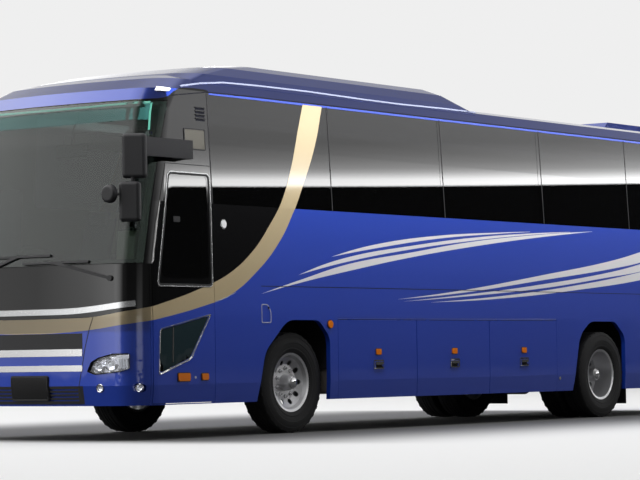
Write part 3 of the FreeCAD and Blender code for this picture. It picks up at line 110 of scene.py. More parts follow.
def lineCurve(tree, value, points, reach, label=""):
    # a smooth line through places given in metres; reach is the part of each axis that it spans
    node = tree.nodes.new("ShaderNodeFloatCurve")
    node.label = label
    curve = node.mapping.curves[0]
    (startX, endX), (startZ, endZ) = reach
    places = [((x - startX) / (endX - startX), (z - startZ) / (endZ - startZ)) for x, z in points]
    curve.points[0].location, curve.points[1].location = places[0], places[-1]
    for place in places[1:-1]:
        curve.points.new(*place)
    node.mapping.update()
    feed(tree, remap(tree, value, startX, endX), node.inputs["Value"])
    return remap(tree, node.outputs[0], 0.0, 1.0, startZ, endZ)


def newGroup(name, inputs, outputs):
    group = bpy.data.node_groups.new(name, "ShaderNodeTree")
    for label, kind, value in inputs:
        group.interface.new_socket(label, in_out="INPUT", socket_type=kind).default_value = value
    for label, kind in outputs:
        group.interface.new_socket(label, in_out="OUTPUT", socket_type=kind)
    return group, group.nodes.new("NodeGroupInput").outputs, group.nodes.new("NodeGroupOutput").inputs


def useGroup(tree, group, **values):
    node = tree.nodes.new("ShaderNodeGroup")
    node.node_tree = group
    for label, value in values.items():
        feed(tree, value, node.inputs[label])
    return node.outputs


def newMaterial(name, slot="", **values):
    material = bpy.data.materials.new(name)
    material.use_nodes = True
    shader = material.node_tree.nodes["Principled BSDF"].inputs
    for label, value in values.items():
        shader[label.replace("_", " ")].default_value = value
    return material, material.node_tree, shader


def addObject(name, data):
    item = bpy.data.objects.new(name, data)
    bpy.context.scene.collection.objects.link(item)
    return item


# camera, at the photograph's place
photo = {"width": 640, "focal": 2658.2, "eye": (17.40, frontY - 18.915, 0.75), "turns": (36.34, 92.55, -0.83),
         "sensor": 36.0}


def makeCamera():
    data = bpy.data.cameras.new("photoCamera")
    data.sensor_width = photo["sensor"]
    data.lens = photo["sensor"] * photo["focal"] / photo["width"]
    data.clip_end = 300
    camera = addObject("photoCamera", data)
    yaw, pitch, roll = [Matrix.Rotation(math.radians(turn), 4, axis) for turn, axis in zip(photo["turns"], "ZXZ")]
    camera.matrix_world = Matrix.Translation(photo["eye"]) @ yaw @ pitch @ roll
    bpy.context.scene.camera = camera


# studio: pale surroundings; what the gloss shows differs by height and by compass direction
studio = {
    "backdrop": 0.863, "plain": 0.115, "floorHalf": 120.0,
    # (height of the direction, level), beside the coach and ahead of it
    "sideRise": ((-1.0, 0.3), (-0.02, 0.3), (0.0, 0.02), (0.1366, 0.02), (0.1374, 12.5), (0.1394, 11.8),
                 (0.1409, 8.0), (0.1422, 5.2), (0.1437, 3.5), (0.1467, 2.4), (0.150, 1.8), (0.154, 1.4),
                 (0.167, 1.5), (0.25, 0.8), (0.6, 0.35), (0.85, 0.9), (1.0, 1.6)),
    "frontRise": ((-1.0, 0.3), (-0.02, 0.3), (0.0, 1.0), (0.15, 0.9), (0.3, 1.7), (0.5, 2.0), (0.7, 3.2),
                  (0.9, 2.6), (1.0, 2.0)),
    # the bright edge beside the coach sinks with the compass angle, and again towards the coach's corner
    "edgePivot": 141.0, "edgeSlope": 0.0018, "cornerSlope": -2.2, "cornerMost": 11.0,
    # degrees from straight ahead: (angle, share of the level ahead), low down and higher up
    "compassLow": ((-180.0, 0.6), (-60.0, 0.9), (-40.0, 1.0), (-22.0, 1.2), (-15.0, 2.6), (2.0, 2.6), (9.0, 0.25),
                   (56.0, 0.15), (63.0, 1.6), (75.0, 1.6), (82.0, 0.15), (180.0, 0.15)),
    "compassHigh": ((-180.0, 0.6), (-60.0, 0.9), (-40.0, 1.0), (-24.0, 1.9), (-12.0, 3.2), (2.0, 2.0),
                    (14.0, 0.25), (30.0, 0.08), (180.0, 0.08)),
    "compassSplit": (0.03, 0.11),
    "evenAbove": (0.14, 0.26), "evenWithin": (4.0, 24.0),     # the part that the screen shows is even
    "turn": (92.0, 118.0),                      # where the view ahead gives way to the view beside
}


def ladder(tree, value, table):
    level = table[0][1]
    for (low, before), (high, after) in zip(table, table[1:]):
        level = calc(tree, "ADD", level, remap(tree, value, low, high, 0.0, after - before))
    return level


def makeWorld():
    world = bpy.data.worlds.new("studio")
    bpy.context.scene.world = world
    world.use_nodes = True
    tree, look = world.node_tree, studio
    work = partial(calc, tree)
    rays = tree.nodes.new("ShaderNodeLightPath").outputs
    x, y, rise = place3(tree, "Generated")
    angle = work("DEGREES", work("ARCTAN2", x, work("MULTIPLY", y, -1.0)))
    around = blend(tree, remap(tree, rise, *look["compassSplit"]), ladder(tree, angle, look["compassLow"]),
                   ladder(tree, angle, look["compassHigh"]))
    even = work("MULTIPLY", remap(tree, rise, *look["evenAbove"]), remap(tree, angle, *look["evenWithin"], 1.0, 0.0))
    ahead = work("MULTIPLY", ladder(tree, rise, look["frontRise"]), blend(tree, even, around, 1.0))
    aside = work("ABSOLUTE", angle)
    swung = work("SUBTRACT", aside, look["edgePivot"])
    corner = work("MINIMUM", work("MULTIPLY", swung, look["cornerSlope"]), look["cornerMost"])
    swung = work("MAXIMUM", swung, corner)
    beside = ladder(tree, work("MULTIPLY_ADD", swung, look["edgeSlope"], rise), look["sideRise"])
    level = blend(tree, remap(tree, aside, *look["turn"]), ahead, beside)
    level = blend(tree, rays["Is Glossy Ray"], look["plain"], level)
    seen = work("MAXIMUM", rays["Is Camera Ray"], rays["Is Transmission Ray"])
    shader = tree.nodes["Background"].inputs
    shader["Color"].default_value = (1, 1, 1, 1)
    feed(tree, blend(tree, seen, level, look["backdrop"]), shader["Strength"])


# one lamp is for the floor alone and casts the coach's soft shadow, which a painted shadow in the floor's colour
# deepens; the others leave the floor out, and those close to the sides leave out the roof and the front's head too
lamps = {
    # place, aim, size, watts, what it reaches
    "floorLight": ((-4.0, 0.0, 40.0), (-4.0, 0.0, 0.0), (60.0, 50.0), 24500, "floorAlone"),
    "overhead": ((0.0, 0.0, 12.0), (0.0, 0.0, 0.0), (22.0, 10.0), 120, "allButFloor"),
    "leftRail": ((2.1, 0.0, 3.55), (1.2, 0.0, 2.6), (12.4, 0.6), 250, "sidesAlone"),
    "rightRail": ((-2.1, 0.0, 3.55), (-1.2, 0.0, 2.6), (12.4, 0.6), 250, "sidesAlone"),
    "leftFill": ((17.0, -6.0, 6.0), (1.0, 0.0, 1.5), (16.0, 6.0), 70, "allButFloor"),
    "frontFill": ((-3.0, -11.5, 2.6), (0.0, -5.8, 1.7), (6.0, 1.6), 300, "sidesAlone"),
    "rearFill": ((2.0, 12.0, 4.0), (0.0, 5.8, 1.8), (6.0, 1.6), 330, "allButFloor"),
}


def makeLamps(floor):
    reach = {}
    high = [nodes[name] for name in ("roof_shell", "roof_fairing", "front_mask", "windscreen")]
    for label, state, members in (("floorAlone", "INCLUDE", [floor]), ("allButFloor", "EXCLUDE", [floor]),
                                  ("sidesAlone", "EXCLUDE", [floor] + high)):
        reach[label] = bpy.data.collections.new(label)
        for index, member in enumerate(members):
            reach[label].objects.link(member)
            reach[label].collection_objects[index].light_linking.link_state = state
    for name, (place, aim, size, watts, label) in lamps.items():
        data = bpy.data.lights.new(name, "AREA")
        data.shape = "RECTANGLE"
        data.size, data.size_y = size
        data.energy = watts
        item = addObject(name, data)
        item.location = place
        item.rotation_euler = (Vector(aim) - Vector(place)).to_track_quat("-Z", "Y").to_euler()
        item.visible_glossy = item.visible_camera = False
        item.light_linking.receiver_collection = reach[label]


# the floor's colour is darker close to the coach, a painted shadow as under a wide soft lamp: (middle, half size,
# reach) on each axis
shade = {"across": (-0.7, 1.9, 4.0), "along": (0.0, 5.3, 1.5), "dark": 96}


def paintedShadowNearCoach(tree):
    work = partial(calc, tree)
    squares = []
    for value, (middle, half, reach) in zip(place3(tree), (shade["across"], shade["along"])):
        beyond = work("SUBTRACT", work("ABSOLUTE", work("SUBTRACT", value, middle)), half)
        squares.append(work("POWER", work("DIVIDE", work("MAXIMUM", beyond, 0.0), reach), 2.0))
    node = tree.nodes.new("ShaderNodeMapRange")
    node.interpolation_type = "SMOOTHERSTEP"
    feed(tree, work("SQRT", work("ADD", *squares)), node.inputs["Value"])
    return node.outputs[0]


def makeFloor():
    form = bmesh.new()
    bmesh.ops.create_grid(form, x_segments=2, y_segments=2, size=studio["floorHalf"])
    mesh = bpy.data.meshes.new("studioFloor")
    form.to_mesh(mesh)
    form.free()
    floor = addObject("studioFloor", mesh)
    # pale to the camera; mid grey to other rays, so that it throws little light up at the coach
    material, tree, shader = newMaterial("studioFloor", Roughness=0.9)
    spread = noise(tree, tree.nodes.new("ShaderNodeTexCoord").outputs["Object"], 0.05, 2.0)
    pale = mixColour(tree, spread, linear(232, 232, 232), linear(238, 238, 238))
    # painted shadow: the pale floor colour turns to dark grey close to the coach
    pale = mixColour(tree, paintedShadowNearCoach(tree), linear(*[shade["dark"]] * 3), pale)
    rays = tree.nodes.new("ShaderNodeLightPath").outputs
    feed(tree, mixColour(tree, rays["Is Camera Ray"], linear(70, 70, 70), pale), shader["Base Color"])
    mesh.materials.append(material)
    return floor


makeCamera()
makeWorld()
makeLamps(makeFloor())
bpy.context.scene.view_settings.view_transform = "Standard"
print("studio ready")


# livery: champagne band, black front, tapering stripes. Places are stations and heights in metres.
livery = {
    "noseHalf": 1.18,
    "bandUpper": ((-1.18, 1.160), (-0.80, 1.162), (-0.356, 1.172), (-0.011, 1.214), (0.248, 1.244), (0.559, 1.307),
                  (1.090, 1.442), (1.529, 1.589), (1.917, 1.815), (2.217, 2.092), (2.439, 2.352), (2.632, 2.716),
                  (2.795, 3.133), (2.885, 3.355), (2.990, 3.60)),
    "bandLower": ((-1.18, 1.022), (-0.80, 1.026), (-0.396, 1.050), (-0.012, 1.091), (0.245, 1.117), (0.556, 1.164),
                  (1.086, 1.263), (1.524, 1.374), (2.011, 1.637), (2.379, 1.936), (2.621, 2.237), (2.814, 2.530),
                  (3.029, 2.890), (3.215, 3.357), (3.300, 3.60)),
    "bandReach": ((-1.2, 3.4), (1.0, 3.6)),
    "belt": 2.27, "glassHalf": 1.0,
    "head": ((-1.2, 3.246), (0.0, 3.246), (0.6, 3.262), (0.82, 3.345), (0.98, 3.388), (1.30, 3.392), (1.36, 3.348)),
    "headReach": ((-1.2, 1.4), (3.2, 3.4)),
    "shadeBand": (2.95, 3.12),
    "stripeReach": ((2.0, 12.0), (1.2, 2.8)),
    # each stripe's upper and lower edge
    "stripes": (
        (((2.043, 1.399), (2.726, 1.554), (3.599, 1.735), (4.707, 1.875), (5.889, 2.020), (7.153, 2.129),
          (8.552, 2.217)),
         ((2.043, 1.399), (2.726, 1.524), (3.598, 1.662), (4.706, 1.822), (5.888, 1.964), (7.152, 2.094),
          (8.552, 2.214))),
        (((2.676, 1.599), (3.599, 1.808), (4.708, 1.946), (5.890, 2.065), (7.153, 2.152), (8.044, 2.196)),
         ((2.676, 1.599), (3.599, 1.761), (4.707, 1.908), (5.889, 2.031), (7.153, 2.135), (8.044, 2.192))),
        (((3.245, 1.795), (4.146, 1.958), (5.290, 2.075), (6.511, 2.144), (7.153, 2.173)),
         ((3.245, 1.795), (4.145, 1.915), (5.290, 2.043), (6.511, 2.131), (7.153, 2.169))),
        (((4.418, 1.367), (5.680, 1.478), (7.364, 1.672), (8.971, 1.873), (9.703, 1.999), (10.9, 2.245),
          (11.96, 2.50)),
         ((4.418, 1.367), (5.679, 1.450), (7.363, 1.614), (8.969, 1.776), (9.700, 1.870), (10.9, 2.105),
          (11.96, 2.36))),
        (((4.540, 1.346), (5.881, 1.441), (7.362, 1.567), (8.969, 1.740), (9.700, 1.851), (10.9, 2.080),
          (11.96, 2.33)),
         ((4.540, 1.346), (5.881, 1.419), (7.361, 1.521), (8.967, 1.680), (9.698, 1.759), (10.9, 1.965),
          (11.96, 2.20))),
        (((5.046, 1.340), (6.500, 1.425), (8.262, 1.580), (9.698, 1.753), (10.9, 1.940), (11.96, 2.17)),
         ((5.046, 1.340), (6.500, 1.397), (8.261, 1.521), (9.696, 1.655), (10.9, 1.830), (11.96, 2.05))),
    ),
    # faces that look inwards by more than this, at the sides, beyond endY at the ends, and under the roof
    "inwardX": -0.3, "inwardY": -1.5, "endY": 5.2, "inwardZ": -0.4, "underRoof": 3.2,
}


def makeLiveryGroup():
    look = livery
    group, entry, result = newGroup("livery", (), [(label, "NodeSocketFloat") for label in
                                                   ("Band", "Black", "Stripes", "Inside")])
    work = partial(calc, group)

    def between(value, low, high):
        return work("MULTIPLY", work("GREATER_THAN", value, low), work("LESS_THAN", value, high))

    across, depth, height = place3(group)
    facingX, facingY, facingZ = place3(group, "Normal")
    station, width = work("SUBTRACT", depth, frontY), work("ABSOLUTE", across)
    nose = work("MAXIMUM", work("SUBTRACT", look["noseHalf"], width), 0.0)
    along = work("SUBTRACT", station, nose)
    upper = lineCurve(group, along, look["bandUpper"], look["bandReach"], "bandUpper")
    lower = lineCurve(group, along, look["bandLower"], look["bandReach"], "bandLower")
    belowHead = work("LESS_THAN", height, lineCurve(group, station, look["head"], look["headReach"]))
    feed(group, work("MULTIPLY", between(height, lower, upper), belowHead), result["Band"])
    front = work("MULTIPLY", work("GREATER_THAN", height, upper), work("LESS_THAN", along, look["bandUpper"][-1][0]))
    glazed = work("MULTIPLY", work("GREATER_THAN", height, look["belt"]),
                  work("GREATER_THAN", width, look["glassHalf"]))
    feed(group, work("MULTIPLY", work("MAXIMUM", front, glazed), belowHead), result["Black"])
    stripes = 0.0
    for top, bottom in look["stripes"]:
        low, high = [lineCurve(group, station, edge, look["stripeReach"]) for edge in (bottom, top)]
        stripe = work("MULTIPLY", between(station, top[0][0], top[-1][0]), between(height, low, high))
        stripes = work("MAXIMUM", stripes, stripe)
    feed(group, stripes, result["Stripes"])
    inwardX = work("LESS_THAN", work("MULTIPLY", across, facingX), look["inwardX"])
    inwardY = work("MULTIPLY", work("GREATER_THAN", work("ABSOLUTE", depth), look["endY"]),
                   work("LESS_THAN", work("MULTIPLY", depth, facingY), look["inwardY"]))
    inwardZ = work("MULTIPLY", work("LESS_THAN", facingZ, look["inwardZ"]),
                   work("GREATER_THAN", height, look["underRoof"]))
    feed(group, work("MAXIMUM", inwardX, work("MAXIMUM", inwardY, inwardZ)), result["Inside"])
    return group


def makeFinishGroup():
    # slight unevenness of any finish, from large blotches to fine grain
    number, colour = "NodeSocketFloat", "NodeSocketColor"
    group, entry, result = newGroup(
        "finish", (("Scale", number, 3.0), ("Shade", number, 0.05), ("Base", colour, (0.5, 0.5, 0.5, 1)),
                   ("Rough", number, 0.4), ("Vary", number, 0.1)),
        (("Color", colour), ("Roughness", number), ("Height", number)))
    work = partial(calc, group)
    place = group.nodes.new("ShaderNodeTexCoord").outputs["Object"]
    coarse = noise(group, place, entry["Scale"], 4.0)
    fine = noise(group, place, work("MULTIPLY", entry["Scale"], 40.0), 2.0)
    both = work("ADD", work("MULTIPLY", coarse, 0.7), work("MULTIPLY", fine, 0.3))
    tint = group.nodes.new("ShaderNodeVectorMath")
    tint.operation = "SCALE"
    feed(group, entry["Base"], tint.inputs[0])
    feed(group, work("MULTIPLY_ADD", work("SUBTRACT", both, 0.5), entry["Shade"], 1.0), tint.inputs["Scale"])
    feed(group, tint.outputs[0], result["Color"])
    rough = work("MULTIPLY_ADD", work("SUBTRACT", coarse, 0.5), entry["Vary"], entry["Rough"])
    feed(group, rough, result["Roughness"])
    feed(group, fine, result["Height"])
    return group


liveryGroup = makeLiveryGroup()
finishGroup = makeFinishGroup()
paint = {"blue": linear(26, 64, 178), "gold": linear(186, 168, 132), "black": linear(14, 14, 15),
         "silver": linear(240, 238, 241), "lining": linear(126, 124, 120)}


def finished(tree, shader, colour, rough, scale=3.0, shade=0.08, vary=0.1, bump=0.0):
    out = useGroup(tree, finishGroup, Scale=scale, Shade=shade, Base=colour, Rough=rough, Vary=vary)
    feed(tree, out["Color"], shader["Base Color"])
    feed(tree, out["Roughness"], shader["Roughness"])
    if bump:
        node = tree.nodes.new("ShaderNodeBump")
        node.inputs["Strength"].default_value = 0.4
        node.inputs["Distance"].default_value = bump
        feed(tree, out["Height"], node.inputs["Height"])
        feed(tree, node.outputs[0], shader["Normal"])


def makeFinish(name, slot, colour, rough, metallic=0.0, scale=3.0, shade=0.08, vary=0.1, bump=0.0, **more):
    material, tree, shader = newMaterial(name, slot, Metallic=metallic, **more)
    finished(tree, shader, linear(*colour), rough, scale, shade, vary, bump)
    return material


def makeBodyPaint():
    material, tree, shader = newMaterial("bodyPaint", "body_paint", Coat_Roughness=0.03)
    masks = useGroup(tree, liveryGroup)
    base = useGroup(tree, finishGroup, Scale=1.2, Shade=0.05, Base=paint["blue"], Rough=0.34, Vary=0.04)
    colour = base["Color"]
    for label, over in (("Stripes", "silver"), ("Black", "black"), ("Band", "gold"), ("Inside", "lining")):
        colour = mixColour(tree, masks[label], colour, paint[over])
    feed(tree, colour, shader["Base Color"])
    metal = blend(tree, masks["Black"], blend(tree, masks["Inside"], 0.35, 0.0), 0.0)
    feed(tree, metal, shader["Metallic"])
    feed(tree, blend(tree, masks["Black"], base["Roughness"], 0.04), shader["Roughness"])
    feed(tree, blend(tree, masks["Black"], 1.0, 0.1), shader["Coat Weight"])
    return material


def makeGlass(name, slot, colour):
    material, tree, shader = newMaterial(name, slot, Metallic=0.0, Transmission_Weight=1.0, IOR=1.5)
    base = useGroup(tree, finishGroup, Scale=2.0, Shade=0.03, Base=linear(*colour), Rough=0.006, Vary=0.004)
    band = useGroup(tree, liveryGroup)["Band"]
    feed(tree, mixColour(tree, band, base["Color"], paint["gold"]), shader["Base Color"])
    feed(tree, base["Roughness"], shader["Roughness"])
    return material


def makeScreenGlass():
    # a clear screen with a green shade band along its head
    material, tree, shader = newMaterial("screenGlass", Metallic=0.0, Transmission_Weight=1.0, IOR=1.5, Roughness=0.01)
    shadeBand = remap(tree, place3(tree)[2], *livery["shadeBand"])
    colour = mixColour(tree, shadeBand, linear(154, 172, 162), linear(104, 156, 140))
    band = useGroup(tree, liveryGroup)["Band"]
    feed(tree, mixColour(tree, band, colour, paint["gold"]), shader["Base Color"])
    return material


def makeTrim():
    # satin trim; the strips low on the front, below 1 m, get a paler colour than the bar over them: a painted brighter
    # reflection
    material, tree, shader = newMaterial("trimBright", "chrome", Metallic=0.85)
    low = calc(tree, "LESS_THAN", place3(tree)[2], 1.0)
    finished(tree, shader, mixColour(tree, low, linear(206, 207, 208), linear(252, 252, 253)), 0.24, shade=0.06,
             vary=0.08)
    return material


bodyPaint = makeBodyPaint()
sideGlass = makeGlass("sideGlass", "tinted_glass", (30, 31, 33))
screenGlass = makeScreenGlass()
rubber = makeFinish("rubber", "tyre", (30, 30, 31), 0.75, shade=0.2, bump=0.001)
alloy = makeFinish("polishedAlloy", "alloy", (222, 222, 224), 0.34, metallic=0.92)
chrome = makeFinish("chrome", "chrome", (226, 226, 228), 0.08, metallic=1.0, vary=0.03)
blackPlastic = makeFinish("blackPlastic", "black_plastic", (28, 28, 30), 0.5, scale=8.0, bump=0.0006)
blackGloss = makeFinish("blackGloss", "black_gloss", (16, 16, 17), 0.12, Coat_Weight=1.0)
chassis = makeFinish("chassisPaint", "chassis", (38, 38, 40), 0.6, shade=0.3, vary=0.2)
iron = makeFinish("castIron", "iron", (70, 68, 66), 0.65, metallic=0.6, shade=0.3, bump=0.001)
floorVinyl = makeFinish("floorVinyl", "floor", (96, 92, 88), 0.7)
trimGrey = makeFinish("dashTrim", "dash", (74, 72, 70), 0.6, bump=0.0004)
fabric = makeFinish("seatFabric", "seat_fabric", (86, 84, 104), 0.95, scale=20.0, bump=0.001)
redLens = makeFinish("redLens", "red_lens", (160, 12, 14), 0.12, Coat_Weight=1.0)
amberLens = makeFinish("amberLens", "amber_lens", (236, 128, 20), 0.15, Coat_Weight=1.0)
lampGlass = makeFinish("lampGlass", "lamp_glass", (200, 204, 210), 0.08, metallic=0.4, Coat_Weight=1.0)
trimBright = makeTrim()
clearLens = makeGlass("clearLens", "lamp_glass", (240, 242, 245))
whitePaint = makeFinish("whitePaint", "body_paint", (214, 214, 216), 0.35, Coat_Weight=0.6)
creamPaint = makeFinish("creamPlate", "body_paint", (176, 172, 160), 0.5)
mirrorGlass = makeFinish("mirrorGlass", "chrome", (210, 216, 222), 0.03, metallic=1.0, shade=0.01, vary=0.01)
reflector = makeFinish("reflector", "chrome", (236, 236, 240), 0.12, metallic=1.0, shade=0.02)
brightEdge = makeFinish("brightEdge", "chrome", (196, 204, 236), 0.25, metallic=0.6)
# dark seams and joints; also painted shade in the louvre slots
seamAndShadePaint = makeFinish("seamAndShadePaint", "black_plastic", (10, 11, 20), 0.6)
whiteLens = makeFinish("whiteLens", "lamp_glass", (232, 234, 238), 0.15, Coat_Weight=1.0)
goldPaint = makeFinish("goldPaint", "body_paint", (186, 168, 132), 0.34, metallic=0.35, scale=1.2, shade=0.05,
                       vary=0.04, Coat_Weight=1.0, Coat_Roughness=0.03)
signPaint = makeFinish("signPaint", "black_plastic", (70, 68, 62), 0.45)
stepTint = makeFinish("stepTint", "tinted_glass", (40, 57, 62), 0.08, Alpha=0.9)
shadeFilm = makeFinish("shadeFilm", "clear_glass", (70, 132, 128), 0.05, Alpha=0.5)
# a brighter teal than the film: painted highlight along the screen's edges
shadeRimHighlight = makeFinish("shadeRimHighlight", "clear_glass", (92, 170, 150), 0.08, Alpha=0.8)
headliner = makeFinish("headliner", "floor", (170, 168, 160), 0.9, scale=14.0, bump=0.0006)

lockers = [f"{side}_luggage_door_{index}" for way, side in sides for index in (1, 2, 3)]
panels = ["left_side_wall", "right_side_wall", "roof_shell", "roof_fairing", "front_bumper", "front_mask",
          "rear_panel", "rear_bumper", "passenger_door", "engine_lid", *lockers]
wheelEnds = [f"{end}_{side}" for end in ("front", "rear") for way, side in sides]
for material, names in (
        (bodyPaint, panels), (sideGlass, ("side_glass", "door_glass", "rear_window")), (screenGlass, ("windscreen",)),
        (rubber, [name for name in nodes if name.endswith(("_tyre", "_tyres"))]),
        (alloy, [name for name in nodes if name.endswith(("_rim", "_rims"))]), (trimBright, ("chrome_trim",)),
        (blackPlastic, ("front_grilles", "mirrors", "wipers")), (iron, ("engine_block",)),
        (chassis, ("underframe", "wheelhouses", "door_arm", "front_axle", "rear_axle", "left_knuckle",
                   "right_knuckle")),
        (floorVinyl, ("floor_deck", "luggage_floor")), (trimGrey, ("dashboard", "steering_wheel")),
        (fabric, ("driver_seat", "passenger_seats")), (redLens, ("tail_lamps",)), (amberLens, ("marker_lamps",)),
        (lampGlass, ("head_lamps",))):
    for name in names:
        nodes[name].data.materials.clear()
        nodes[name].data.materials.append(material)
print("materials ready")


# helpers for pieces that lie on the coach's surface
def addPiece(name, form, material, body="root", sharp=35.0):
    bmesh.ops.recalc_face_normals(form, faces=form.faces)
    mesh = bpy.data.meshes.new(name)
    form.to_mesh(mesh)
    form.free()
    for face in mesh.polygons:
        face.use_smooth = True
    mesh.set_sharp_from_angle(angle=math.radians(sharp))
    mesh.materials.append(material)
    piece = addObject(name, mesh)
    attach(piece, body)
    return piece


def surfaceOf(*names):
    form = bmesh.new()
    for name in names:
        form.from_mesh(nodes[name].data)
    tree = BVHTree.FromBMesh(form)
    form.free()
    return tree


skin = surfaceOf("left_side_wall", "right_side_wall", "roof_shell", "roof_fairing", "front_bumper", "front_mask",
                 "front_grilles", "rear_panel", "rear_bumper", "windscreen", "side_glass", "passenger_door",
                 "door_glass", "engine_lid", "rear_window", "tail_lamps", *lockers)
farAway = 20
views = {"front": (Vector((0, 1, 0)), lambda a, b: Vector((a, -farAway, b))),
         "rear": (Vector((0, -1, 0)), lambda a, b: Vector((a, farAway, b))),
         "left": (Vector((-1, 0, 0)), lambda a, b: Vector((farAway, frontY + a, b))),
         "right": (Vector((1, 0, 0)), lambda a, b: Vector((-farAway, frontY + a, b))),
         "top": (Vector((0, 0, -1)), lambda a, b: Vector((a, frontY + b, farAway)))}


def onSkin(view, a, b, nudge=0.012, tree=skin, slack=0.014):
    # the surface's place and facing there; a ray that slips into a gap takes its neighbours' depth
    aim, start = views[view]
    hits = []
    for da, db in ((0, 0), (nudge, 0), (-nudge, 0), (0, nudge), (0, -nudge)):
        place, facing, index, depth = tree.ray_cast(start(a + da, b + db), aim)
        if place is not None:
            hits.append((depth, facing if facing.dot(aim) < 0 else -facing))
    if not hits:
        return onSkin(view, a, b, nudge)      # beyond the edge of a small piece: the coach's own surface
    nearest = min(depth for depth, facing in hits)
    close = [hit for hit in hits if hit[0] < nearest + slack]
    depth, facing = hits[0] if hits[0] in close else close[0]
    return start(a, b) + aim * depth, facing


def lay(form, view, thick, step, sink=0.002, tree=skin):
    # cuts a flat form into steps, lays it on the surface and gives it thickness outwards
    for axis, normal in ((0, (1, 0, 0)), (2, (0, 0, 1))):
        low = min(vert.co[axis] for vert in form.verts)
        high = max(vert.co[axis] for vert in form.verts)
        count = int((high - low) / step) + 1
        for index in range(1, count):
            place = Vector((0, 0, 0))
            place[axis] = low + (high - low) * index / count
            bmesh.ops.bisect_plane(form, geom=form.verts[:] + form.edges[:] + form.faces[:], plane_co=place,
                                   plane_no=normal)
    facing = form.verts.layers.float_vector.new("facing")
    for vert in form.verts:
        place, vert[facing] = onSkin(view, vert.co.x, vert.co.z, tree=tree)
        vert.co = place - vert[facing] * sink
    for vert in bmesh.ops.extrude_face_region(form, geom=form.faces[:])["geom"]:
        if isinstance(vert, bmesh.types.BMVert):
            vert.co += vert[facing] * (thick + sink)


def flatForm(outline, bend=0.0):
    form = bmesh.new()
    form.faces.new([form.verts.new((a, 0, b)) for a, b in outline])
    if bend:
        bmesh.ops.bevel(form, geom=form.verts[:], offset=bend, affect="VERTICES", segments=4, profile=0.5,
                        material=-1)
    return form


def patch(name, view, outline, thick, material, body="root", bend=0.0, step=0.06, sink=0.002, tree=skin):
    form = flatForm(outline, bend)
    lay(form, view, thick, step, sink, tree)
    return addPiece(name, form, material, body)


def surround(name, view, outline, width, thick, material, body="root", bend=0.0, step=0.06):
    form = flatForm(outline, bend)
    bmesh.ops.inset_region(form, faces=form.faces[:], thickness=width, use_even_offset=True, use_boundary=True)
    inner = [face for face in form.faces if not any(edge.is_boundary for edge in face.edges)]
    bmesh.ops.delete(form, geom=inner, context="FACES")
    lay(form, view, thick, step)
    addPiece(name, form, material, body)


def line(name, view, points, width, thick, material, body="root", step=0.12):
    form = bmesh.new()
    pairs = []
    for index, point in enumerate(points):
        before, after = points[max(index - 1, 0)], points[min(index + 1, len(points) - 1)]
        along = Vector((after[0] - before[0], after[1] - before[1])).normalized()
        aside = Vector((-along.y, along.x)) * (width / 2)
        pairs.append([form.verts.new((point[0] + way * aside.x, 0, point[1] + way * aside.y)) for way in (-1, 1)])
    for (a, b), (c, d) in zip(pairs, pairs[1:]):
        form.faces.new((a, c, d, b))
    lay(form, view, thick, step)
    addPiece(name, form, material, body)


def rect(start, end, low, high):
    return [(start, low), (start, high), (end, high), (end, low)]


def roundOutline(a, b, radius, count=16):
    return [(a + radius * math.cos(index * math.tau / count), b + radius * math.sin(index * math.tau / count))
            for index in range(count)]


def widened(outline, gap):
    # an outline moved outwards, for trim that runs round a window
    following = outline[1:] + outline[:1]
    way = 1 if sum((b[0] - a[0]) * (b[1] + a[1]) for a, b in zip(outline, following)) > 0 else -1
    out = []
    for before, here, after in zip(outline[-1:] + outline[:-1], outline, following):
        first = Vector((here[0] - before[0], here[1] - before[1])).normalized()
        second = Vector((after[0] - here[0], after[1] - here[1])).normalized()
        left, right = Vector((-first.y, first.x)) * way, Vector((-second.y, second.x)) * way
        mitre = (left + right).normalized()
        move = mitre * gap / max(mitre.dot(left), 0.3)
        out.append((here[0] + move.x, here[1] + move.y))
    return out


def span(way, inner, outer):
    # the low and high x of something that lies between two distances from the middle
    return sorted((way * inner, way * outer))


def spun(profile, centre, axis, steps):
    # a turned form: profile is (distance from the axis, place along it)
    axis = Vector(axis).normalized()
    side = axis.orthogonal().normalized()
    form = bmesh.new()
    verts = [form.verts.new(Vector(centre) + side * radius + axis * along) for radius, along in profile]
    edges = [form.edges.new(pair) for pair in zip(verts, verts[1:])]
    bmesh.ops.spin(form, geom=verts + edges, cent=centre, axis=axis, dvec=(0, 0, 0), angle=math.tau, steps=steps,
                   use_merge=True, use_duplicate=False)
    bmesh.ops.remove_doubles(form, verts=form.verts, dist=0.00002)
    return form


def joinForms(forms):
    whole = bmesh.new()
    for form in forms:
        mesh = bpy.data.meshes.new("part")
        form.to_mesh(mesh)
        form.free()
        whole.from_mesh(mesh)
        bpy.data.meshes.remove(mesh)
    return whole


def boxForm(low, high, bend, segments):
    form = bmesh.new()
    bmesh.ops.create_cube(form, size=1.0)
    for vert in form.verts:
        vert.co = Vector([low[axis] + (high[axis] - low[axis]) * (vert.co[axis] + 0.5) for axis in range(3)])
    bmesh.ops.bevel(form, geom=form.edges[:], offset=bend, affect="EDGES", segments=segments, profile=0.5,
                    material=-1)
    return form


def tube(name, points, radius, material):
    data = bpy.data.curves.new(name, "CURVE")
    data.dimensions = "3D"
    spline = data.splines.new("POLY")
    spline.points.add(len(points) - 1)
    for point, place in zip(spline.points, points):
        point.co = (*place, 1)
    data.bevel_depth, data.bevel_resolution, data.use_fill_caps = radius, 2, True
    item = bpy.data.objects.new(name, data)
    mesh = bpy.data.meshes.new_from_object(item)
    form = bmesh.new()
    form.from_mesh(mesh)
    bpy.data.objects.remove(item)
    bpy.data.meshes.remove(mesh)
    bmesh.ops.remove_doubles(form, verts=form.verts, dist=0.00002)
    addPiece(name, form, material)


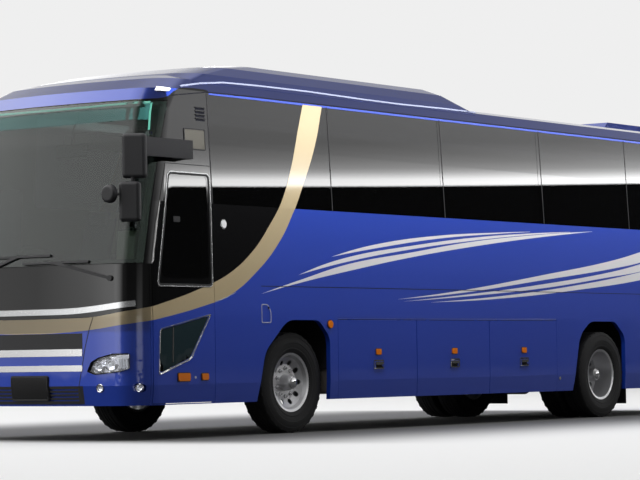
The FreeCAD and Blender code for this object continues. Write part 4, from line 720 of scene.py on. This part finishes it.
# wheels: grooved tyres, nuts and hub caps
wheelLook = {
    # half a section, tread to bead: (radius, distance from the tyre's middle)
    "section": ((0.511, 0.0), (0.511, 0.010), (0.503, 0.013), (0.503, 0.021), (0.511, 0.024), (0.510, 0.056),
                (0.501, 0.059), (0.501, 0.067), (0.509, 0.070), (0.506, 0.112), (0.498, 0.124), (0.486, 0.130),
                (0.470, 0.1375), (0.462, 0.1395), (0.459, 0.1372), (0.440, 0.1425), (0.412, 0.1470),
                (0.400, 0.1474), (0.397, 0.1452), (0.372, 0.1440), (0.350, 0.1385), (0.346, 0.1405),
                (0.340, 0.1400), (0.326, 0.1330), (0.312, 0.1260), (0.302, 0.1200), (0.302, 0.0900)),
    "half": 0.1475, "steps": 96, "notch": 0.006, "notchFrom": 0.496, "notchSpan": (0.112, 0.130), "notchEvery": 3,
    "nuts": 10, "nutCircle": 0.1425, "nutSize": 0.0165, "nutReach": 0.03, "capCircle": 0.03,
    "nut": ((0.0, 1.0), (0.45, 1.0), (0.55, 0.8), (0.9, 0.72), (1.0, 0.6), (1.0, 0.12), (1.35, 0.1)),
    "nutBase": -0.004,
    "cap": ((0.0, 0.010), (0.045, 0.009), (0.052, 0.004), (0.056, 0.004), (0.060, 0.0), (0.060, -0.006),
            (0.0, -0.006)),
}


def tyreForm(centre, out):
    look = wheelLook
    section = [(radius, -aside) for radius, aside in reversed(look["section"][1:])] + list(look["section"])
    form = spun(section, centre, (out, 0, 0), look["steps"])
    # close the tyre between its beads
    bmesh.ops.bridge_loops(form, edges=[edge for edge in form.edges if edge.is_boundary])
    shoulder = []
    inner, outer = look["notchSpan"]
    for face in form.faces:
        middle = face.calc_center_median() - centre
        share = math.atan2(middle.z, middle.y) % math.tau / math.tau
        if (math.hypot(middle.y, middle.z) > look["notchFrom"] and inner < abs(middle.x) < outer
                and int(share * look["steps"]) % look["notchEvery"] == 0):
            shoulder.append(face)
    bmesh.ops.inset_individual(form, faces=shoulder, thickness=0.002, depth=-look["notch"], use_even_offset=True)
    return form


def nutRing(centre, out, faceX):
    look = wheelLook
    size, reach, base = look["nutSize"], look["nutReach"], look["nutBase"]
    profile = [(size * radius, reach * along) for radius, along in look["nut"]] + [(size * 1.35, base), (0.0, base)]
    forms = []
    for index in range(look["nuts"]):
        turn = math.tau * (index + 0.5) / look["nuts"]
        place = Vector((faceX, centre.y + look["nutCircle"] * math.cos(turn),
                        centre.z + look["nutCircle"] * math.sin(turn)))
        forms.append(spun(profile, place, (out, 0, 0), 6))
    return forms


def faceAt(tree, centre, out, reach):
    # how far out a wheel's face stands, at a distance from its middle
    places = []
    for turn in (0.2, 1.3, 2.4, 3.5, 4.6, 5.7):
        start = Vector((centre.x + out, centre.y + reach * math.cos(turn), centre.z + reach * math.sin(turn)))
        place = tree.ray_cast(start, Vector((-out, 0, 0)))[0]
        if place is not None:
            places.append(place.x)
    return (max if out > 0 else min)(places)


def makeWheels():
    look = wheelLook
    for wheel in wheelEnds:
        out = 1 if "left" in wheel else -1
        body, plural = f"{wheel}_wheel", "s" if "rear" in wheel else ""
        low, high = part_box(f"{wheel}_tyre{plural}")
        x, y, z = (low + high) / 2
        outer, inner = (high.x, low.x) if out > 0 else (low.x, high.x)
        places = [outer - out * look["half"], inner + out * look["half"]][:2 if plural else 1]
        forms = [tyreForm(Vector((place, y, z)), out) for place in places]
        piece = addPiece(f"{wheel}_tread", joinForms(forms), rubber, body, sharp=28.0)
        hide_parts(f"{wheel}_tyre{plural}")
        tree, centre = surfaceOf(f"{wheel}_rim{plural}"), Vector((outer, y, z))
        face, hub = [faceAt(tree, centre, out, look[reach]) for reach in ("nutCircle", "capCircle")]
        addPiece(f"{wheel}_nuts", joinForms(nutRing(centre, out, face)), chrome, body)
        addPiece(f"{wheel}_cap", spun(look["cap"], (hub, y, z), (out, 0, 0), 32), chrome, body)


makeWheels()
print("wheels ready")


# the band goes on over the side glass as a painted film
filmLook = {"low": 2.262, "high": 3.352, "rows": 18, "samples": 2000}


def bandStations(label, heights):
    node = next(node for node in liveryGroup.nodes if node.label == label)
    node.mapping.initialize()
    (startX, endX), (startZ, endZ) = livery["bandReach"]
    steps = [index / filmLook["samples"] for index in range(filmLook["samples"] + 1)]
    levels = [startZ + (endZ - startZ) * node.mapping.evaluate(node.mapping.curves[0], step) for step in steps]
    return [startX + (endX - startX) * next(step for step, level in zip(steps, levels) if level >= height)
            for height in heights]


def makeGlassBand():
    low, high, count = filmLook["low"], filmLook["high"], filmLook["rows"]
    heights = [low + (high - low) * index / count for index in range(count + 1)]
    ahead, behind = bandStations("bandUpper", heights), bandStations("bandLower", heights)
    for way, side in sides:
        form = bmesh.new()
        rows = [[form.verts.new((first + (last - first) * share, 0, height)) for share in (0, 0.5, 1)]
                for height, first, last in zip(heights, ahead, behind)]
        for below, above in zip(rows, rows[1:]):
            for index in (0, 1):
                form.faces.new((below[index], below[index + 1], above[index + 1], above[index]))
        lay(form, side, 0.0012, 4.0)
        addPiece(f"{side}GlassBand", form, goldPaint)


# roof: a pale line along the fairing's foot that is a painted highlight, drip edge, hatches (station, half sizes), rear
# unit's vents
roofLook = {"footHighlight": ((0.93, 3.401), (1.27, 3.453), (1.65, 3.490), (2.2, 3.500), (3.08, 3.503), (4.0, 3.490),
                         (4.75, 3.486), (5.6, 3.496), (6.24, 3.496)),
            "dripEdge": ((0.78, 3.300), (1.30, 3.366), (2.0, 3.372), (11.75, 3.372)),
            "hatches": ((7.05, 0.36, 0.30), (8.60, 0.38, 0.32)), "vents": 8, "ventFirst": 10.02, "ventStep": 0.032,
            "ventHalf": 0.528}


def makeRoof():
    look = roofLook
    for way, side in sides:
        line(f"{side}DripEdge", side, look["dripEdge"], 0.010, 0.004, seamAndShadePaint, step=0.25)
        # a pale metal strip along the fairing's foot: painted highlight
        line(f"{side}RoofLineHighlight", side, look["footHighlight"], 0.016, 0.006, brightEdge, step=0.25)
    for index, (station, halfX, halfY) in enumerate(look["hatches"]):
        outline = rect(-halfX, halfX, station - halfY, station + halfY)
        patch(f"roofHatch{index}", "top", outline, 0.018, bodyPaint, bend=0.06, step=0.12)
        surround(f"roofHatchSeal{index}", "top", widened(outline, 0.022), 0.020, 0.008, blackPlastic, bend=0.07,
                 step=0.12)
    for index in range(look["vents"]):
        station = look["ventFirst"] + look["ventStep"] * index
        line(f"unitVent{index}", "top", [(-look["ventHalf"], station), (look["ventHalf"], station)], 0.012, 0.006,
             blackPlastic)


# the screen's shade band is a tinted film along its head; the brighter teal lines along its top edge and the screen's
# sides are a painted highlight
def makeShadeBand():
    outline = [(-1.125, 3.050), (-1.105, 3.225), (-0.97, 3.222), (-0.5, 3.205), (0.0, 3.200), (0.5, 3.205),
               (0.97, 3.222), (1.105, 3.225), (1.125, 3.050), (0.98, 3.052), (0.5, 3.040), (0.0, 3.035),
               (-0.5, 3.040), (-0.98, 3.052)]
    patch("shadeBand", "front", outline, 0.0015, shadeFilm, step=0.08)
    line("shadeEdgeHighlight", "front", [(-1.10, 3.220), (-0.5, 3.203), (0.0, 3.198), (0.5, 3.203), (1.10, 3.220)], 0.022,
         0.002, shadeRimHighlight)
    for way, side in sides:
        line(f"{side}ShadeRimHighlight", "front", [(way * 1.110, 3.215), (way * 1.130, 2.95)], 0.012, 0.002, shadeRimHighlight)


# the door: windows with bright and dark edges, handle, side turn lamps; all of it swings with the leaf
doorLook = {"upper": [(0.455, 1.475), (0.655, 2.545), (1.262, 2.545), (1.262, 1.475)],
            "lower": [(0.455, 0.630), (0.475, 1.040), (1.215, 1.180), (0.915, 0.770)],
            "lamps": (("doorTurnLamp", 0.725, 0.905, 0.075), ("doorSideLamp", 1.085, 1.185, 0.062)), "lampZ": 0.590}


def makeDoor():
    leaf, upper, lower = "passenger_door", doorLook["upper"], doorLook["lower"]
    surround("doorWindowSeal", "left", widened(upper, 0.012), 0.022, 0.004, blackPlastic, leaf, bend=0.05)
    surround("doorWindowBead", "left", widened(upper, 0.020), 0.010, 0.005, trimBright, leaf, bend=0.055)
    surround("stepWindowBead", "left", widened(lower, 0.014), 0.013, 0.006, trimBright, leaf, bend=0.035)
    patch("stepWindowTint", "left", widened(lower, -0.004), 0.0015, stepTint, leaf, bend=0.03)
    line("stepWindowPost", "left", [(0.655, 0.735), (0.665, 1.065)], 0.014, 0.003, trimGrey, leaf)
    patch("doorHandlePlate", "left", rect(0.70, 0.80, 2.075, 2.13), 0.004, blackPlastic, leaf, bend=0.012)
    for name, start, end, tall in doorLook["lamps"]:
        outline = rect(start, end, doorLook["lampZ"] - tall / 2, doorLook["lampZ"] + tall / 2)
        patch(name + "Base", "left", widened(outline, 0.008), 0.004, blackPlastic, leaf, bend=0.014)
        patch(name, "left", outline, 0.014, amberLens, leaf, bend=0.018)
    patch("doorButton", "left", roundOutline(0.99, 0.585, 0.012, 12), 0.006, whitePaint, leaf)


# left and right sides: mullion seams, band accent, lamps, handles, hinge beads, flaps and buttons
sideLook = {"mullions": (1.309, 3.295, 5.395, 7.465, 9.445, 11.45), "glassLow": 2.275, "glassHigh": 3.355,
            "accent": ((1.309, 1.318), (1.400, 1.334), (1.500, 1.362), (1.643, 1.412)),
            "handles": (4.055, 5.510, 6.945), "handleHalf": 0.085, "handleTall": 0.0425, "handleZ": 0.680,
            "leverHalf": 0.068, "markerZ": 0.812, "markerHalf": 0.045, "markerTall": 0.030,
            "chargeFlap": [(2.045, 1.110), (2.045, 1.300), (2.150, 1.300), (2.205, 1.225), (2.205, 1.110)],
            "sign": [(0.960, 2.795), (0.930, 2.865), (0.930, 2.985), (1.235, 2.985), (1.235, 2.795)],
            "louvres": 4, "louvreLow": 3.075, "louvreStep": 0.036}
hingeLook = {"inset": 0.0072, "height": 1.156, "radius": 0.0066, "top": 1.1715, "gap": 0.0005}


def makeHingeBead(way, side):
    # the hinge over the luggage doors: a bead on the hinge line, with the gutter's lip over it
    start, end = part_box(f"{side}_luggage_door_1")[0].y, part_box(f"{side}_luggage_door_3")[1].y
    height, radius, gap = hingeLook["height"], hingeLook["radius"], hingeLook["gap"]
    x = way * (abs(sideX) - hingeLook["inset"])
    tube(f"{side}HingeBead", [(x, y, height) for y in (start, (start + end) / 2, end)], radius, bodyPaint)
    low, high = sorted((x - way * radius, x + way * (radius - gap)))
    lip = boxForm((low, start, height + radius + gap), (high, end, hingeLook["top"]), 0.002, 2)
    addPiece(f"{side}HingeLip", lip, bodyPaint)


def makeLocker(side, index, station):
    body, look = f"{side}_luggage_door_{index + 1}", sideLook
    half, tall, lever, height = look["handleHalf"], look["handleTall"], look["leverHalf"], look["handleZ"]
    outline = rect(station - half, station + half, height - tall, height + tall)
    patch(f"{side}HandleCup{index}", side, outline, 0.003, blackGloss, body, bend=0.012)
    surround(f"{side}HandleRim{index}", side, widened(outline, 0.006), 0.010, 0.009, chrome, body, bend=0.016)
    patch(f"{side}HandleLever{index}", side, rect(station - lever, station + lever, height - 0.004, height + 0.026),
          0.013, chrome, body, bend=0.008)
    half, tall, height = look["markerHalf"], look["markerTall"], look["markerZ"]
    lamp = rect(station - half, station + half, height - tall, height + tall)
    patch(f"{side}LockerLampBase{index}", side, widened(lamp, 0.006), 0.004, blackPlastic, body, bend=0.008)
    patch(f"{side}LockerLamp{index}", side, lamp, 0.013, amberLens, body, bend=0.012)


def makeSides():
    look = sideLook
    for way, side in sides:
        for index, station in enumerate(look["mullions"]):
            line(f"{side}Mullion{index}", side, [(station, look["glassLow"]), (station, look["glassHigh"])], 0.014,
                 0.0015, blackPlastic)
        line(f"{side}BandAccent", side, look["accent"], 0.006, 0.0012, brightEdge)
        line(f"{side}PanelSeam", side, [(2.05, 1.478), (6.0, 1.482), (11.6, 1.478)], 0.007, 0.0012, seamAndShadePaint, step=0.4)
        for index, station in enumerate(look["handles"]):
            makeLocker(side, index, station)
        patch(f"{side}RoundMarkerBase", side, roundOutline(3.195, 1.100, 0.047), 0.006, blackPlastic)
        patch(f"{side}RoundMarker", side, roundOutline(3.195, 1.100, 0.040), 0.018, amberLens)
        makeHingeBead(way, side)
        patch(f"{side}RearLock", side, roundOutline(7.725, 0.480, 0.020, 12), 0.007, chrome)
        patch(f"{side}FuelFlap", side, rect(9.85, 10.22, 0.72, 0.98), 0.0025, bodyPaint, bend=0.03)
        surround(f"{side}FuelFlapSeam", side, rect(9.84, 10.23, 0.71, 0.99), 0.006, 0.0015, seamAndShadePaint, bend=0.035)
    surround("chargeFlapEdge", "left", look["chargeFlap"], 0.011, 0.0035, brightEdge, bend=0.022)
    patch("chargeFlapLock", "left", roundOutline(2.160, 1.262, 0.013, 12), 0.007, chrome)
    patch("openButtonRing", "left", roundOutline(1.471, 2.078, 0.048), 0.004, trimBright)
    patch("openButton", "left", roundOutline(1.471, 2.078, 0.038), 0.009, whitePaint)
    # louvre and blank plate on the panel above the door; the dark slots under the lips are painted shade in the
    # louvre's openings
    for index in range(look["louvres"]):
        height = look["louvreLow"] + look["louvreStep"] * index
        patch(f"louvreShadeSlot{index}", "left", rect(1.12, 1.26, height, height + 0.020), 0.002, seamAndShadePaint, bend=0.004)
        line(f"louvreLip{index}", "left", [(1.115, height + 0.024), (1.265, height + 0.024)], 0.008, 0.010,
             blackPlastic)
    patch("signPlate", "left", look["sign"], 0.005, signPaint, bend=0.012)
    surround("signPlateEdge", "left", widened(look["sign"], 0.008), 0.010, 0.007, blackPlastic, bend=0.016)


# the front: blank plate, seams, cap lamps, fog lamps
lampFace = surfaceOf("head_lamps")
frontLook = {"plate": (-0.233, 0.233, 0.392, 0.612), "fogs": (("Inner", 0.824), ("Outer", 1.176)), "fogZ": 0.498,
             "seam": ((0.759, 1.172), (0.714, 1.050), (0.668, 0.881), (0.632, 0.692), (0.596, 0.522), (0.634, 0.389)),
             "capLamp": ((1.085, 3.335), (1.085, 3.372), (1.165, 3.368), (1.165, 3.333)),
             "ring": ((0.033, -0.004), (0.033, 0.004), (0.036, 0.006), (0.040, 0.003), (0.041, -0.004),
                      (0.041, -0.024), (0.033, -0.024), (0.033, -0.004)),
             "bowl": ((0.0, -0.026), (0.033, -0.024), (0.033, -0.006), (0.031, -0.006), (0.020, -0.018),
                      (0.0, -0.021)),
             "lens": ((0.0, 0.000), (0.020, -0.001), (0.033, -0.004), (0.033, -0.0065), (0.0, -0.0045))}


def fog(name, x):
    place, facing = onSkin("front", x, frontLook["fogZ"], nudge=0.004, tree=lampFace)
    aim = Vector((facing.x * 0.4, -1, 0)).normalized()
    for label, material in (("ring", chrome), ("bowl", reflector), ("lens", clearLens)):
        addPiece(name + label.capitalize(), spun(frontLook[label], place, aim, 32), material)


def makeFront():
    look = frontLook
    plate = rect(*look["plate"])
    patch("frontPlateBase", "front", widened(plate, 0.010), 0.010, blackPlastic, bend=0.022)
    patch("frontPlate", "front", plate, 0.016, blackGloss, bend=0.018)
    surround("frontPlateEdge", "front", widened(plate, 0.002), 0.008, 0.018, blackPlastic, bend=0.018)
    for way, side in sides:
        line(f"{side}BumperSeam", "front", [(way * x, z) for x, z in look["seam"]], 0.007, 0.0015, seamAndShadePaint, step=0.05)
        for label, x in look["fogs"]:
            fog(f"{side}Fog{label}", way * x)
        lampCluster(side, way)
        patch(f"{side}CapLamp", "front", [(way * x, z) for x, z in look["capLamp"]], 0.012, whiteLens, bend=0.008,
              step=0.02)


# a lamp cluster: bright back, two bowls with their bulbs, ribs at the outer end, clear cover
lampLook = {"low": 0.624, "high": 0.827, "inner": 0.698, "outer": 1.113,
            "shares": ((0.0, 0.14), (0.18, 0.0), (0.81, 0.12), (1.0, 0.26), (1.0, 1.0), (0.63, 0.985),
                       (0.32, 0.83), (0.11, 0.61)),
            "bowls": ((0.800, 0.697, 0.050), (0.926, 0.722, 0.062)),
            "ribs": 4, "ribFirst": 1.010, "ribStep": 0.022, "brow": ((0.985, 0.795), (1.035, 0.803), (1.090, 0.800))}


def lampOutline(way, gap):
    look = lampLook
    width, height = look["outer"] - look["inner"] - 2 * gap, look["high"] - look["low"] - 2 * gap
    return [(way * (look["inner"] + gap + a * width), look["low"] + gap + b * height) for a, b in look["shares"]]


def lampCluster(side, way):
    look = lampLook
    cover = patch(f"{side}LampCover", "front", lampOutline(way, 0.003), -0.001, clearLens, bend=0.012, step=0.03,
                  sink=0.005, tree=lampFace)
    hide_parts("head_lamps")
    patch(f"{side}LampBack", "front", lampOutline(way, 0.004), 0.003, reflector, bend=0.012, step=0.03)
    surround(f"{side}LampBezel", "front", lampOutline(way, 0.004), 0.010, 0.026, blackPlastic, bend=0.012, step=0.03)
    for index, (x, height, radius) in enumerate(look["bowls"]):
        place, facing = onSkin("front", way * x, height, nudge=0.004)
        bowl = [(0.0, 0.002), (radius * 0.8, 0.004), (radius, 0.012), (radius, 0.028), (radius - 0.005, 0.030),
                (radius - 0.008, 0.026), (radius * 0.72, 0.012), (radius * 0.3, 0.007), (0.0, 0.006)]
        bulb = [(0.0, 0.026), (radius * 0.20, 0.0245), (radius * 0.36, 0.019), (radius * 0.42, 0.012),
                (radius * 0.42, 0.006), (0.0, 0.006)]
        ring = [(radius * 0.62, 0.016), (radius * 0.66, 0.020), (radius * 0.72, 0.020), (radius * 0.74, 0.014),
                (radius * 0.68, 0.010), (radius * 0.62, 0.016)]
        for label, profile, steps, material in (("Bowl", bowl, 40, reflector), ("Bulb", bulb, 24, whiteLens),
                                                ("Ring", ring, 40, chrome)):
            addPiece(f"{side}Lamp{label}{index}", spun(profile, place, facing, steps), material)
    for index in range(look["ribs"]):
        x = way * (look["ribFirst"] + look["ribStep"] * index)
        line(f"{side}LampRib{index}", "front", [(x, 0.690), (x, 0.772)], 0.009, 0.016, lampGlass, step=0.03)
    line(f"{side}LampBrow", "front", [(way * x, z) for x, z in look["brow"]], 0.018, 0.024, reflector, step=0.02)


makeGlassBand()
makeRoof()
makeShadeBand()
makeDoor()
makeSides()
makeFront()
print("doors, sides and front ready")


# seats: crowned pads with sewn channels; they stand for the plain solids
seatLook = {"first": 2.350, "pitch": 0.870, "rows": 10, "inner": 0.260, "width": 0.880, "floor": 1.4803,
            "depth": 0.46, "cushion": 0.42, "thick": 0.12, "back": 0.72, "backThick": 0.11, "rake": 0.19,
            # pan, two legs, armrest: distances from the middle, the seat's front and the floor; edge, its segments
            "frame": (((0.28, 1.10), (0.03, 0.50), (0.285, 0.318), 0.01, 2),
                      ((0.34, 0.40), (0.25, 0.44), (0.0, 0.29), 0.012, 2),
                      ((0.98, 1.04), (0.25, 0.44), (0.0, 0.29), 0.012, 2),
                      ((0.264, 0.304), (0.10, 0.54), (0.612, 0.656), 0.014, 3)),
            "driverX": -0.600, "driverFloor": 1.150, "driverWidth": 0.44}


def padForm(width, length, thick, crown, channels):
    # a cushion about the origin, lying flat: x across, y along, z up
    form = bmesh.new()
    bmesh.ops.create_cube(form, size=1.0)
    bmesh.ops.subdivide_edges(form, edges=form.edges[:], cuts=7, use_grid_fill=True)
    for vert in form.verts:
        across, along, up = vert.co * 2
        edge, top = max(abs(across), abs(along)), max(up, 0.0)
        pull = 0.05 * (1 - along * along) * abs(across) ** 3
        rounding = 1 - 0.10 * abs(up) ** 4 * edge ** 6
        swell = crown * (1 - across ** 4) * (1 - along ** 4) * top
        sewn = sum(0.10 * thick * math.exp(-((across - channel) / 0.07) ** 2) for channel in channels) * top
        vert.co = Vector((across * width / 2 * (1 - pull) * rounding, along * length / 2 * rounding,
                          up * thick / 2 * (1 - 0.16 * edge ** 8) + swell - sewn))
    return form


def seatForms(middleX, seatY, floor, width):
    look = seatLook
    top, depth, back, thick = floor + look["cushion"], look["depth"], look["back"], look["backThick"]
    lean = math.pi / 2 - math.atan2(look["rake"], back)
    length = math.hypot(look["rake"], back)
    forms = []
    # each pad's size, crown and channels, its place behind the seat's front and above the cushion's top, its tilt
    for size, channels, behind, above, tilt in (
            ((width * 0.94, depth * 0.93, look["thick"] * 0.80, 0.008), (-0.55, 0.55), depth * 0.47,
             look["thick"] * -0.52, 0.03),
            ((width * 0.93, length * 0.86, thick * 0.74, 0.008), (-0.5, 0.5),
             depth + look["rake"] * 0.46 + thick * 0.5, back * 0.46, lean),
            ((width * 0.60, 0.150, 0.080, 0.006), (), depth + look["rake"] * 0.875 + thick * 0.28, back * 0.885,
             lean)):
        form = padForm(*size, channels)
        matrix = Matrix.Translation((middleX, seatY + behind, top + above)) @ Matrix.Rotation(tilt, 4, "X")
        bmesh.ops.transform(form, matrix=matrix, verts=form.verts)
        forms.append(form)
    return forms


def makeSeats():
    look = seatLook
    floor = look["floor"]
    pads, frames = [], []
    for row in range(look["rows"]):
        seatY = frontY + look["first"] + row * look["pitch"]
        for way, side in sides:
            for share in (0.25, 0.75):
                pads += seatForms(way * (look["inner"] + look["width"] * share), seatY, floor, look["width"] / 2)
            for across, along, up, bend, segments in look["frame"]:
                (left, right), (front, rear), (low, high) = span(way, *across), along, up
                frames.append(boxForm((left, seatY + front, floor + low), (right, seatY + rear, floor + high), bend,
                                      segments))
    piece = addPiece("seatPads", joinForms(pads), fabric)
    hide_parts("passenger_seats")
    addPiece("seatFrames", joinForms(frames), trimGrey)
    seatY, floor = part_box("driver_seat")[0].y, look["driverFloor"]
    driver = addPiece("driverPads", joinForms(seatForms(look["driverX"], seatY, floor, look["driverWidth"])), fabric)
    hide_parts("driver_seat")
    base = joinForms([boxForm((-0.76, seatY + 0.20, 1.0), (-0.44, seatY + 0.46, 1.20), 0.015, 2),
                      boxForm((-0.80, seatY + 0.03, 1.19), (-0.40, seatY + 0.50, floor + 0.30), 0.03, 3)])
    addPiece("driverSeatBase", base, blackPlastic)


# inside: luggage racks, driver's place, fare box beside the door, mirror over the screen
cabinLook = {"rack": (0.66, 1.10), "rackLow": 2.98, "rackHigh": 3.12, "rail": (0.62, 0.65), "railTall": 0.03,
             "start": 1.75, "end": 11.3}


def makeCabin():
    look = cabinLook
    start, end, high = frontY + look["start"], frontY + look["end"], look["rackHigh"]
    for name, across, low, bend, segments, material in (
            ("luggageRacks", look["rack"], look["rackLow"], 0.03, 3, headliner),
            ("rackRails", look["rail"], high - look["railTall"], 0.008, 2, trimBright)):
        spans = [span(way, *across) for way, side in sides]
        forms = [boxForm((left, start, low), (right, end, high), bend, segments) for left, right in spans]
        addPiece(name, joinForms(forms), material)
    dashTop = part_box("dashboard")[1].z
    for name, low, high, bend, segments, material in (
            ("instrumentHood", (-0.86, 0.48, dashTop - 0.005), (-0.34, 0.70, dashTop + 0.085), 0.035, 4, blackPlastic),
            ("fareBox", (0.42, 0.80, 1.482), (0.66, 1.05, 2.02), 0.02, 3, creamPaint),
            ("fareBoxTop", (0.45, 0.83, 2.02), (0.63, 1.02, 2.06), 0.012, 3, trimGrey),
            ("innerMirror", (-0.10, 0.520, 2.735), (0.30, 0.545, 2.875), 0.011, 3, blackPlastic)):
        low, high = [(x, frontY + y, z) for x, y, z in (low, high)]
        addPiece(name, boxForm(low, high, bend, segments), material)
    stay = ((0.10, 0.535, 2.87), (0.10, 0.56, 3.02), (0.13, 0.66, 3.26))
    tube("innerMirrorStay", [(x, frontY + y, z) for x, y, z in stay], 0.010, blackPlastic)


# outside mirrors: the glass in the housings (label, station, bottom, width, height)
mirrorLook = {"half": 1.300, "depth": 0.110, "turn": 29.0, "sink": 0.008, "rim": 0.017,
              "cases": (("Main", 0.060, 2.460, 0.230, 0.420), ("Low", -0.010, 2.050, 0.200, 0.375))}


def makeMirrors():
    look = mirrorLook
    for way, side in sides:
        x, rim = way * look["half"], look["rim"]
        turn = Matrix.Rotation(math.radians(look["turn"] * way), 3, "Z")
        for label, station, bottom, width, height in look["cases"]:
            back = frontY + station + look["depth"] / 2 - look["sink"]
            form = boxForm((x - width / 2 + rim, back - 0.001, bottom + rim),
                           (x + width / 2 - rim, back + 0.004, bottom + height - rim), 0.0018, 2)
            bmesh.ops.rotate(form, verts=form.verts, cent=(x, frontY + station, 0), matrix=turn)
            addPiece(f"{side}Mirror{label}Glass", form, mirrorGlass)


makeSeats()
makeCabin()
makeMirrors()
print("seats, cabin and mirrors ready")


# the rear: lamps, reflectors, louvres and blank plate on the lid, high brake lamp, window seal
rearLook = {"lamps": ((1.13, redLens), (1.30, amberLens), (1.47, whiteLens)), "lampX": 1.105, "lampR": 0.062,
            "louvres": 9, "louvreLow": 0.98, "louvreStep": 0.062}


def makeRear():
    look = rearLook
    for way, side in sides:
        for index, (height, material) in enumerate(look["lamps"]):
            x, radius = way * look["lampX"], look["lampR"]
            patch(f"{side}RearLamp{index}", "rear", roundOutline(x, height, radius, 24), 0.008, material, step=0.03)
            surround(f"{side}RearLampRim{index}", "rear", roundOutline(x, height, radius + 0.009, 24), 0.010, 0.010,
                     chrome, step=0.03)
        patch(f"{side}RearReflector", "rear", rect(way * 0.80, way * 1.02, 0.52, 0.58), 0.008, redLens, bend=0.01)
        # the lid's louvre slots are dark patches: painted shade in the openings
        for index in range(look["louvres"]):
            height = look["louvreLow"] + look["louvreStep"] * index
            patch(f"{side}LidShadeSlot{index}", "rear", rect(way * 0.18, way * 0.78, height, height + 0.022), 0.0012,
                  seamAndShadePaint, "engine_lid", bend=0.006, step=0.1)
            line(f"{side}LidLip{index}", "rear", [(way * x, height + 0.030) for x in (0.17, 0.79)], 0.012, 0.0012,
                 bodyPaint, "engine_lid")
    patch("rearPlateHolder", "rear", rect(-0.25, 0.25, 1.60, 1.84), 0.002, blackPlastic, "engine_lid", bend=0.02)
    patch("rearPlate", "rear", rect(-0.22, 0.22, 1.62, 1.82), 0.004, blackGloss, "engine_lid", bend=0.014)
    patch("highBrakeLamp", "rear", rect(-0.20, 0.20, 2.27, 2.305), 0.012, redLens, bend=0.010)
    surround("rearWindowSeal", "rear", rect(-0.958, 0.958, 2.342, 3.158), 0.020, 0.004, blackPlastic, bend=0.07)
    line("rearUpperSeam", "rear", [(-1.15, 2.20), (0.0, 2.20), (1.15, 2.20)], 0.007, 0.0012, seamAndShadePaint)


makeRear()
print("rear ready")
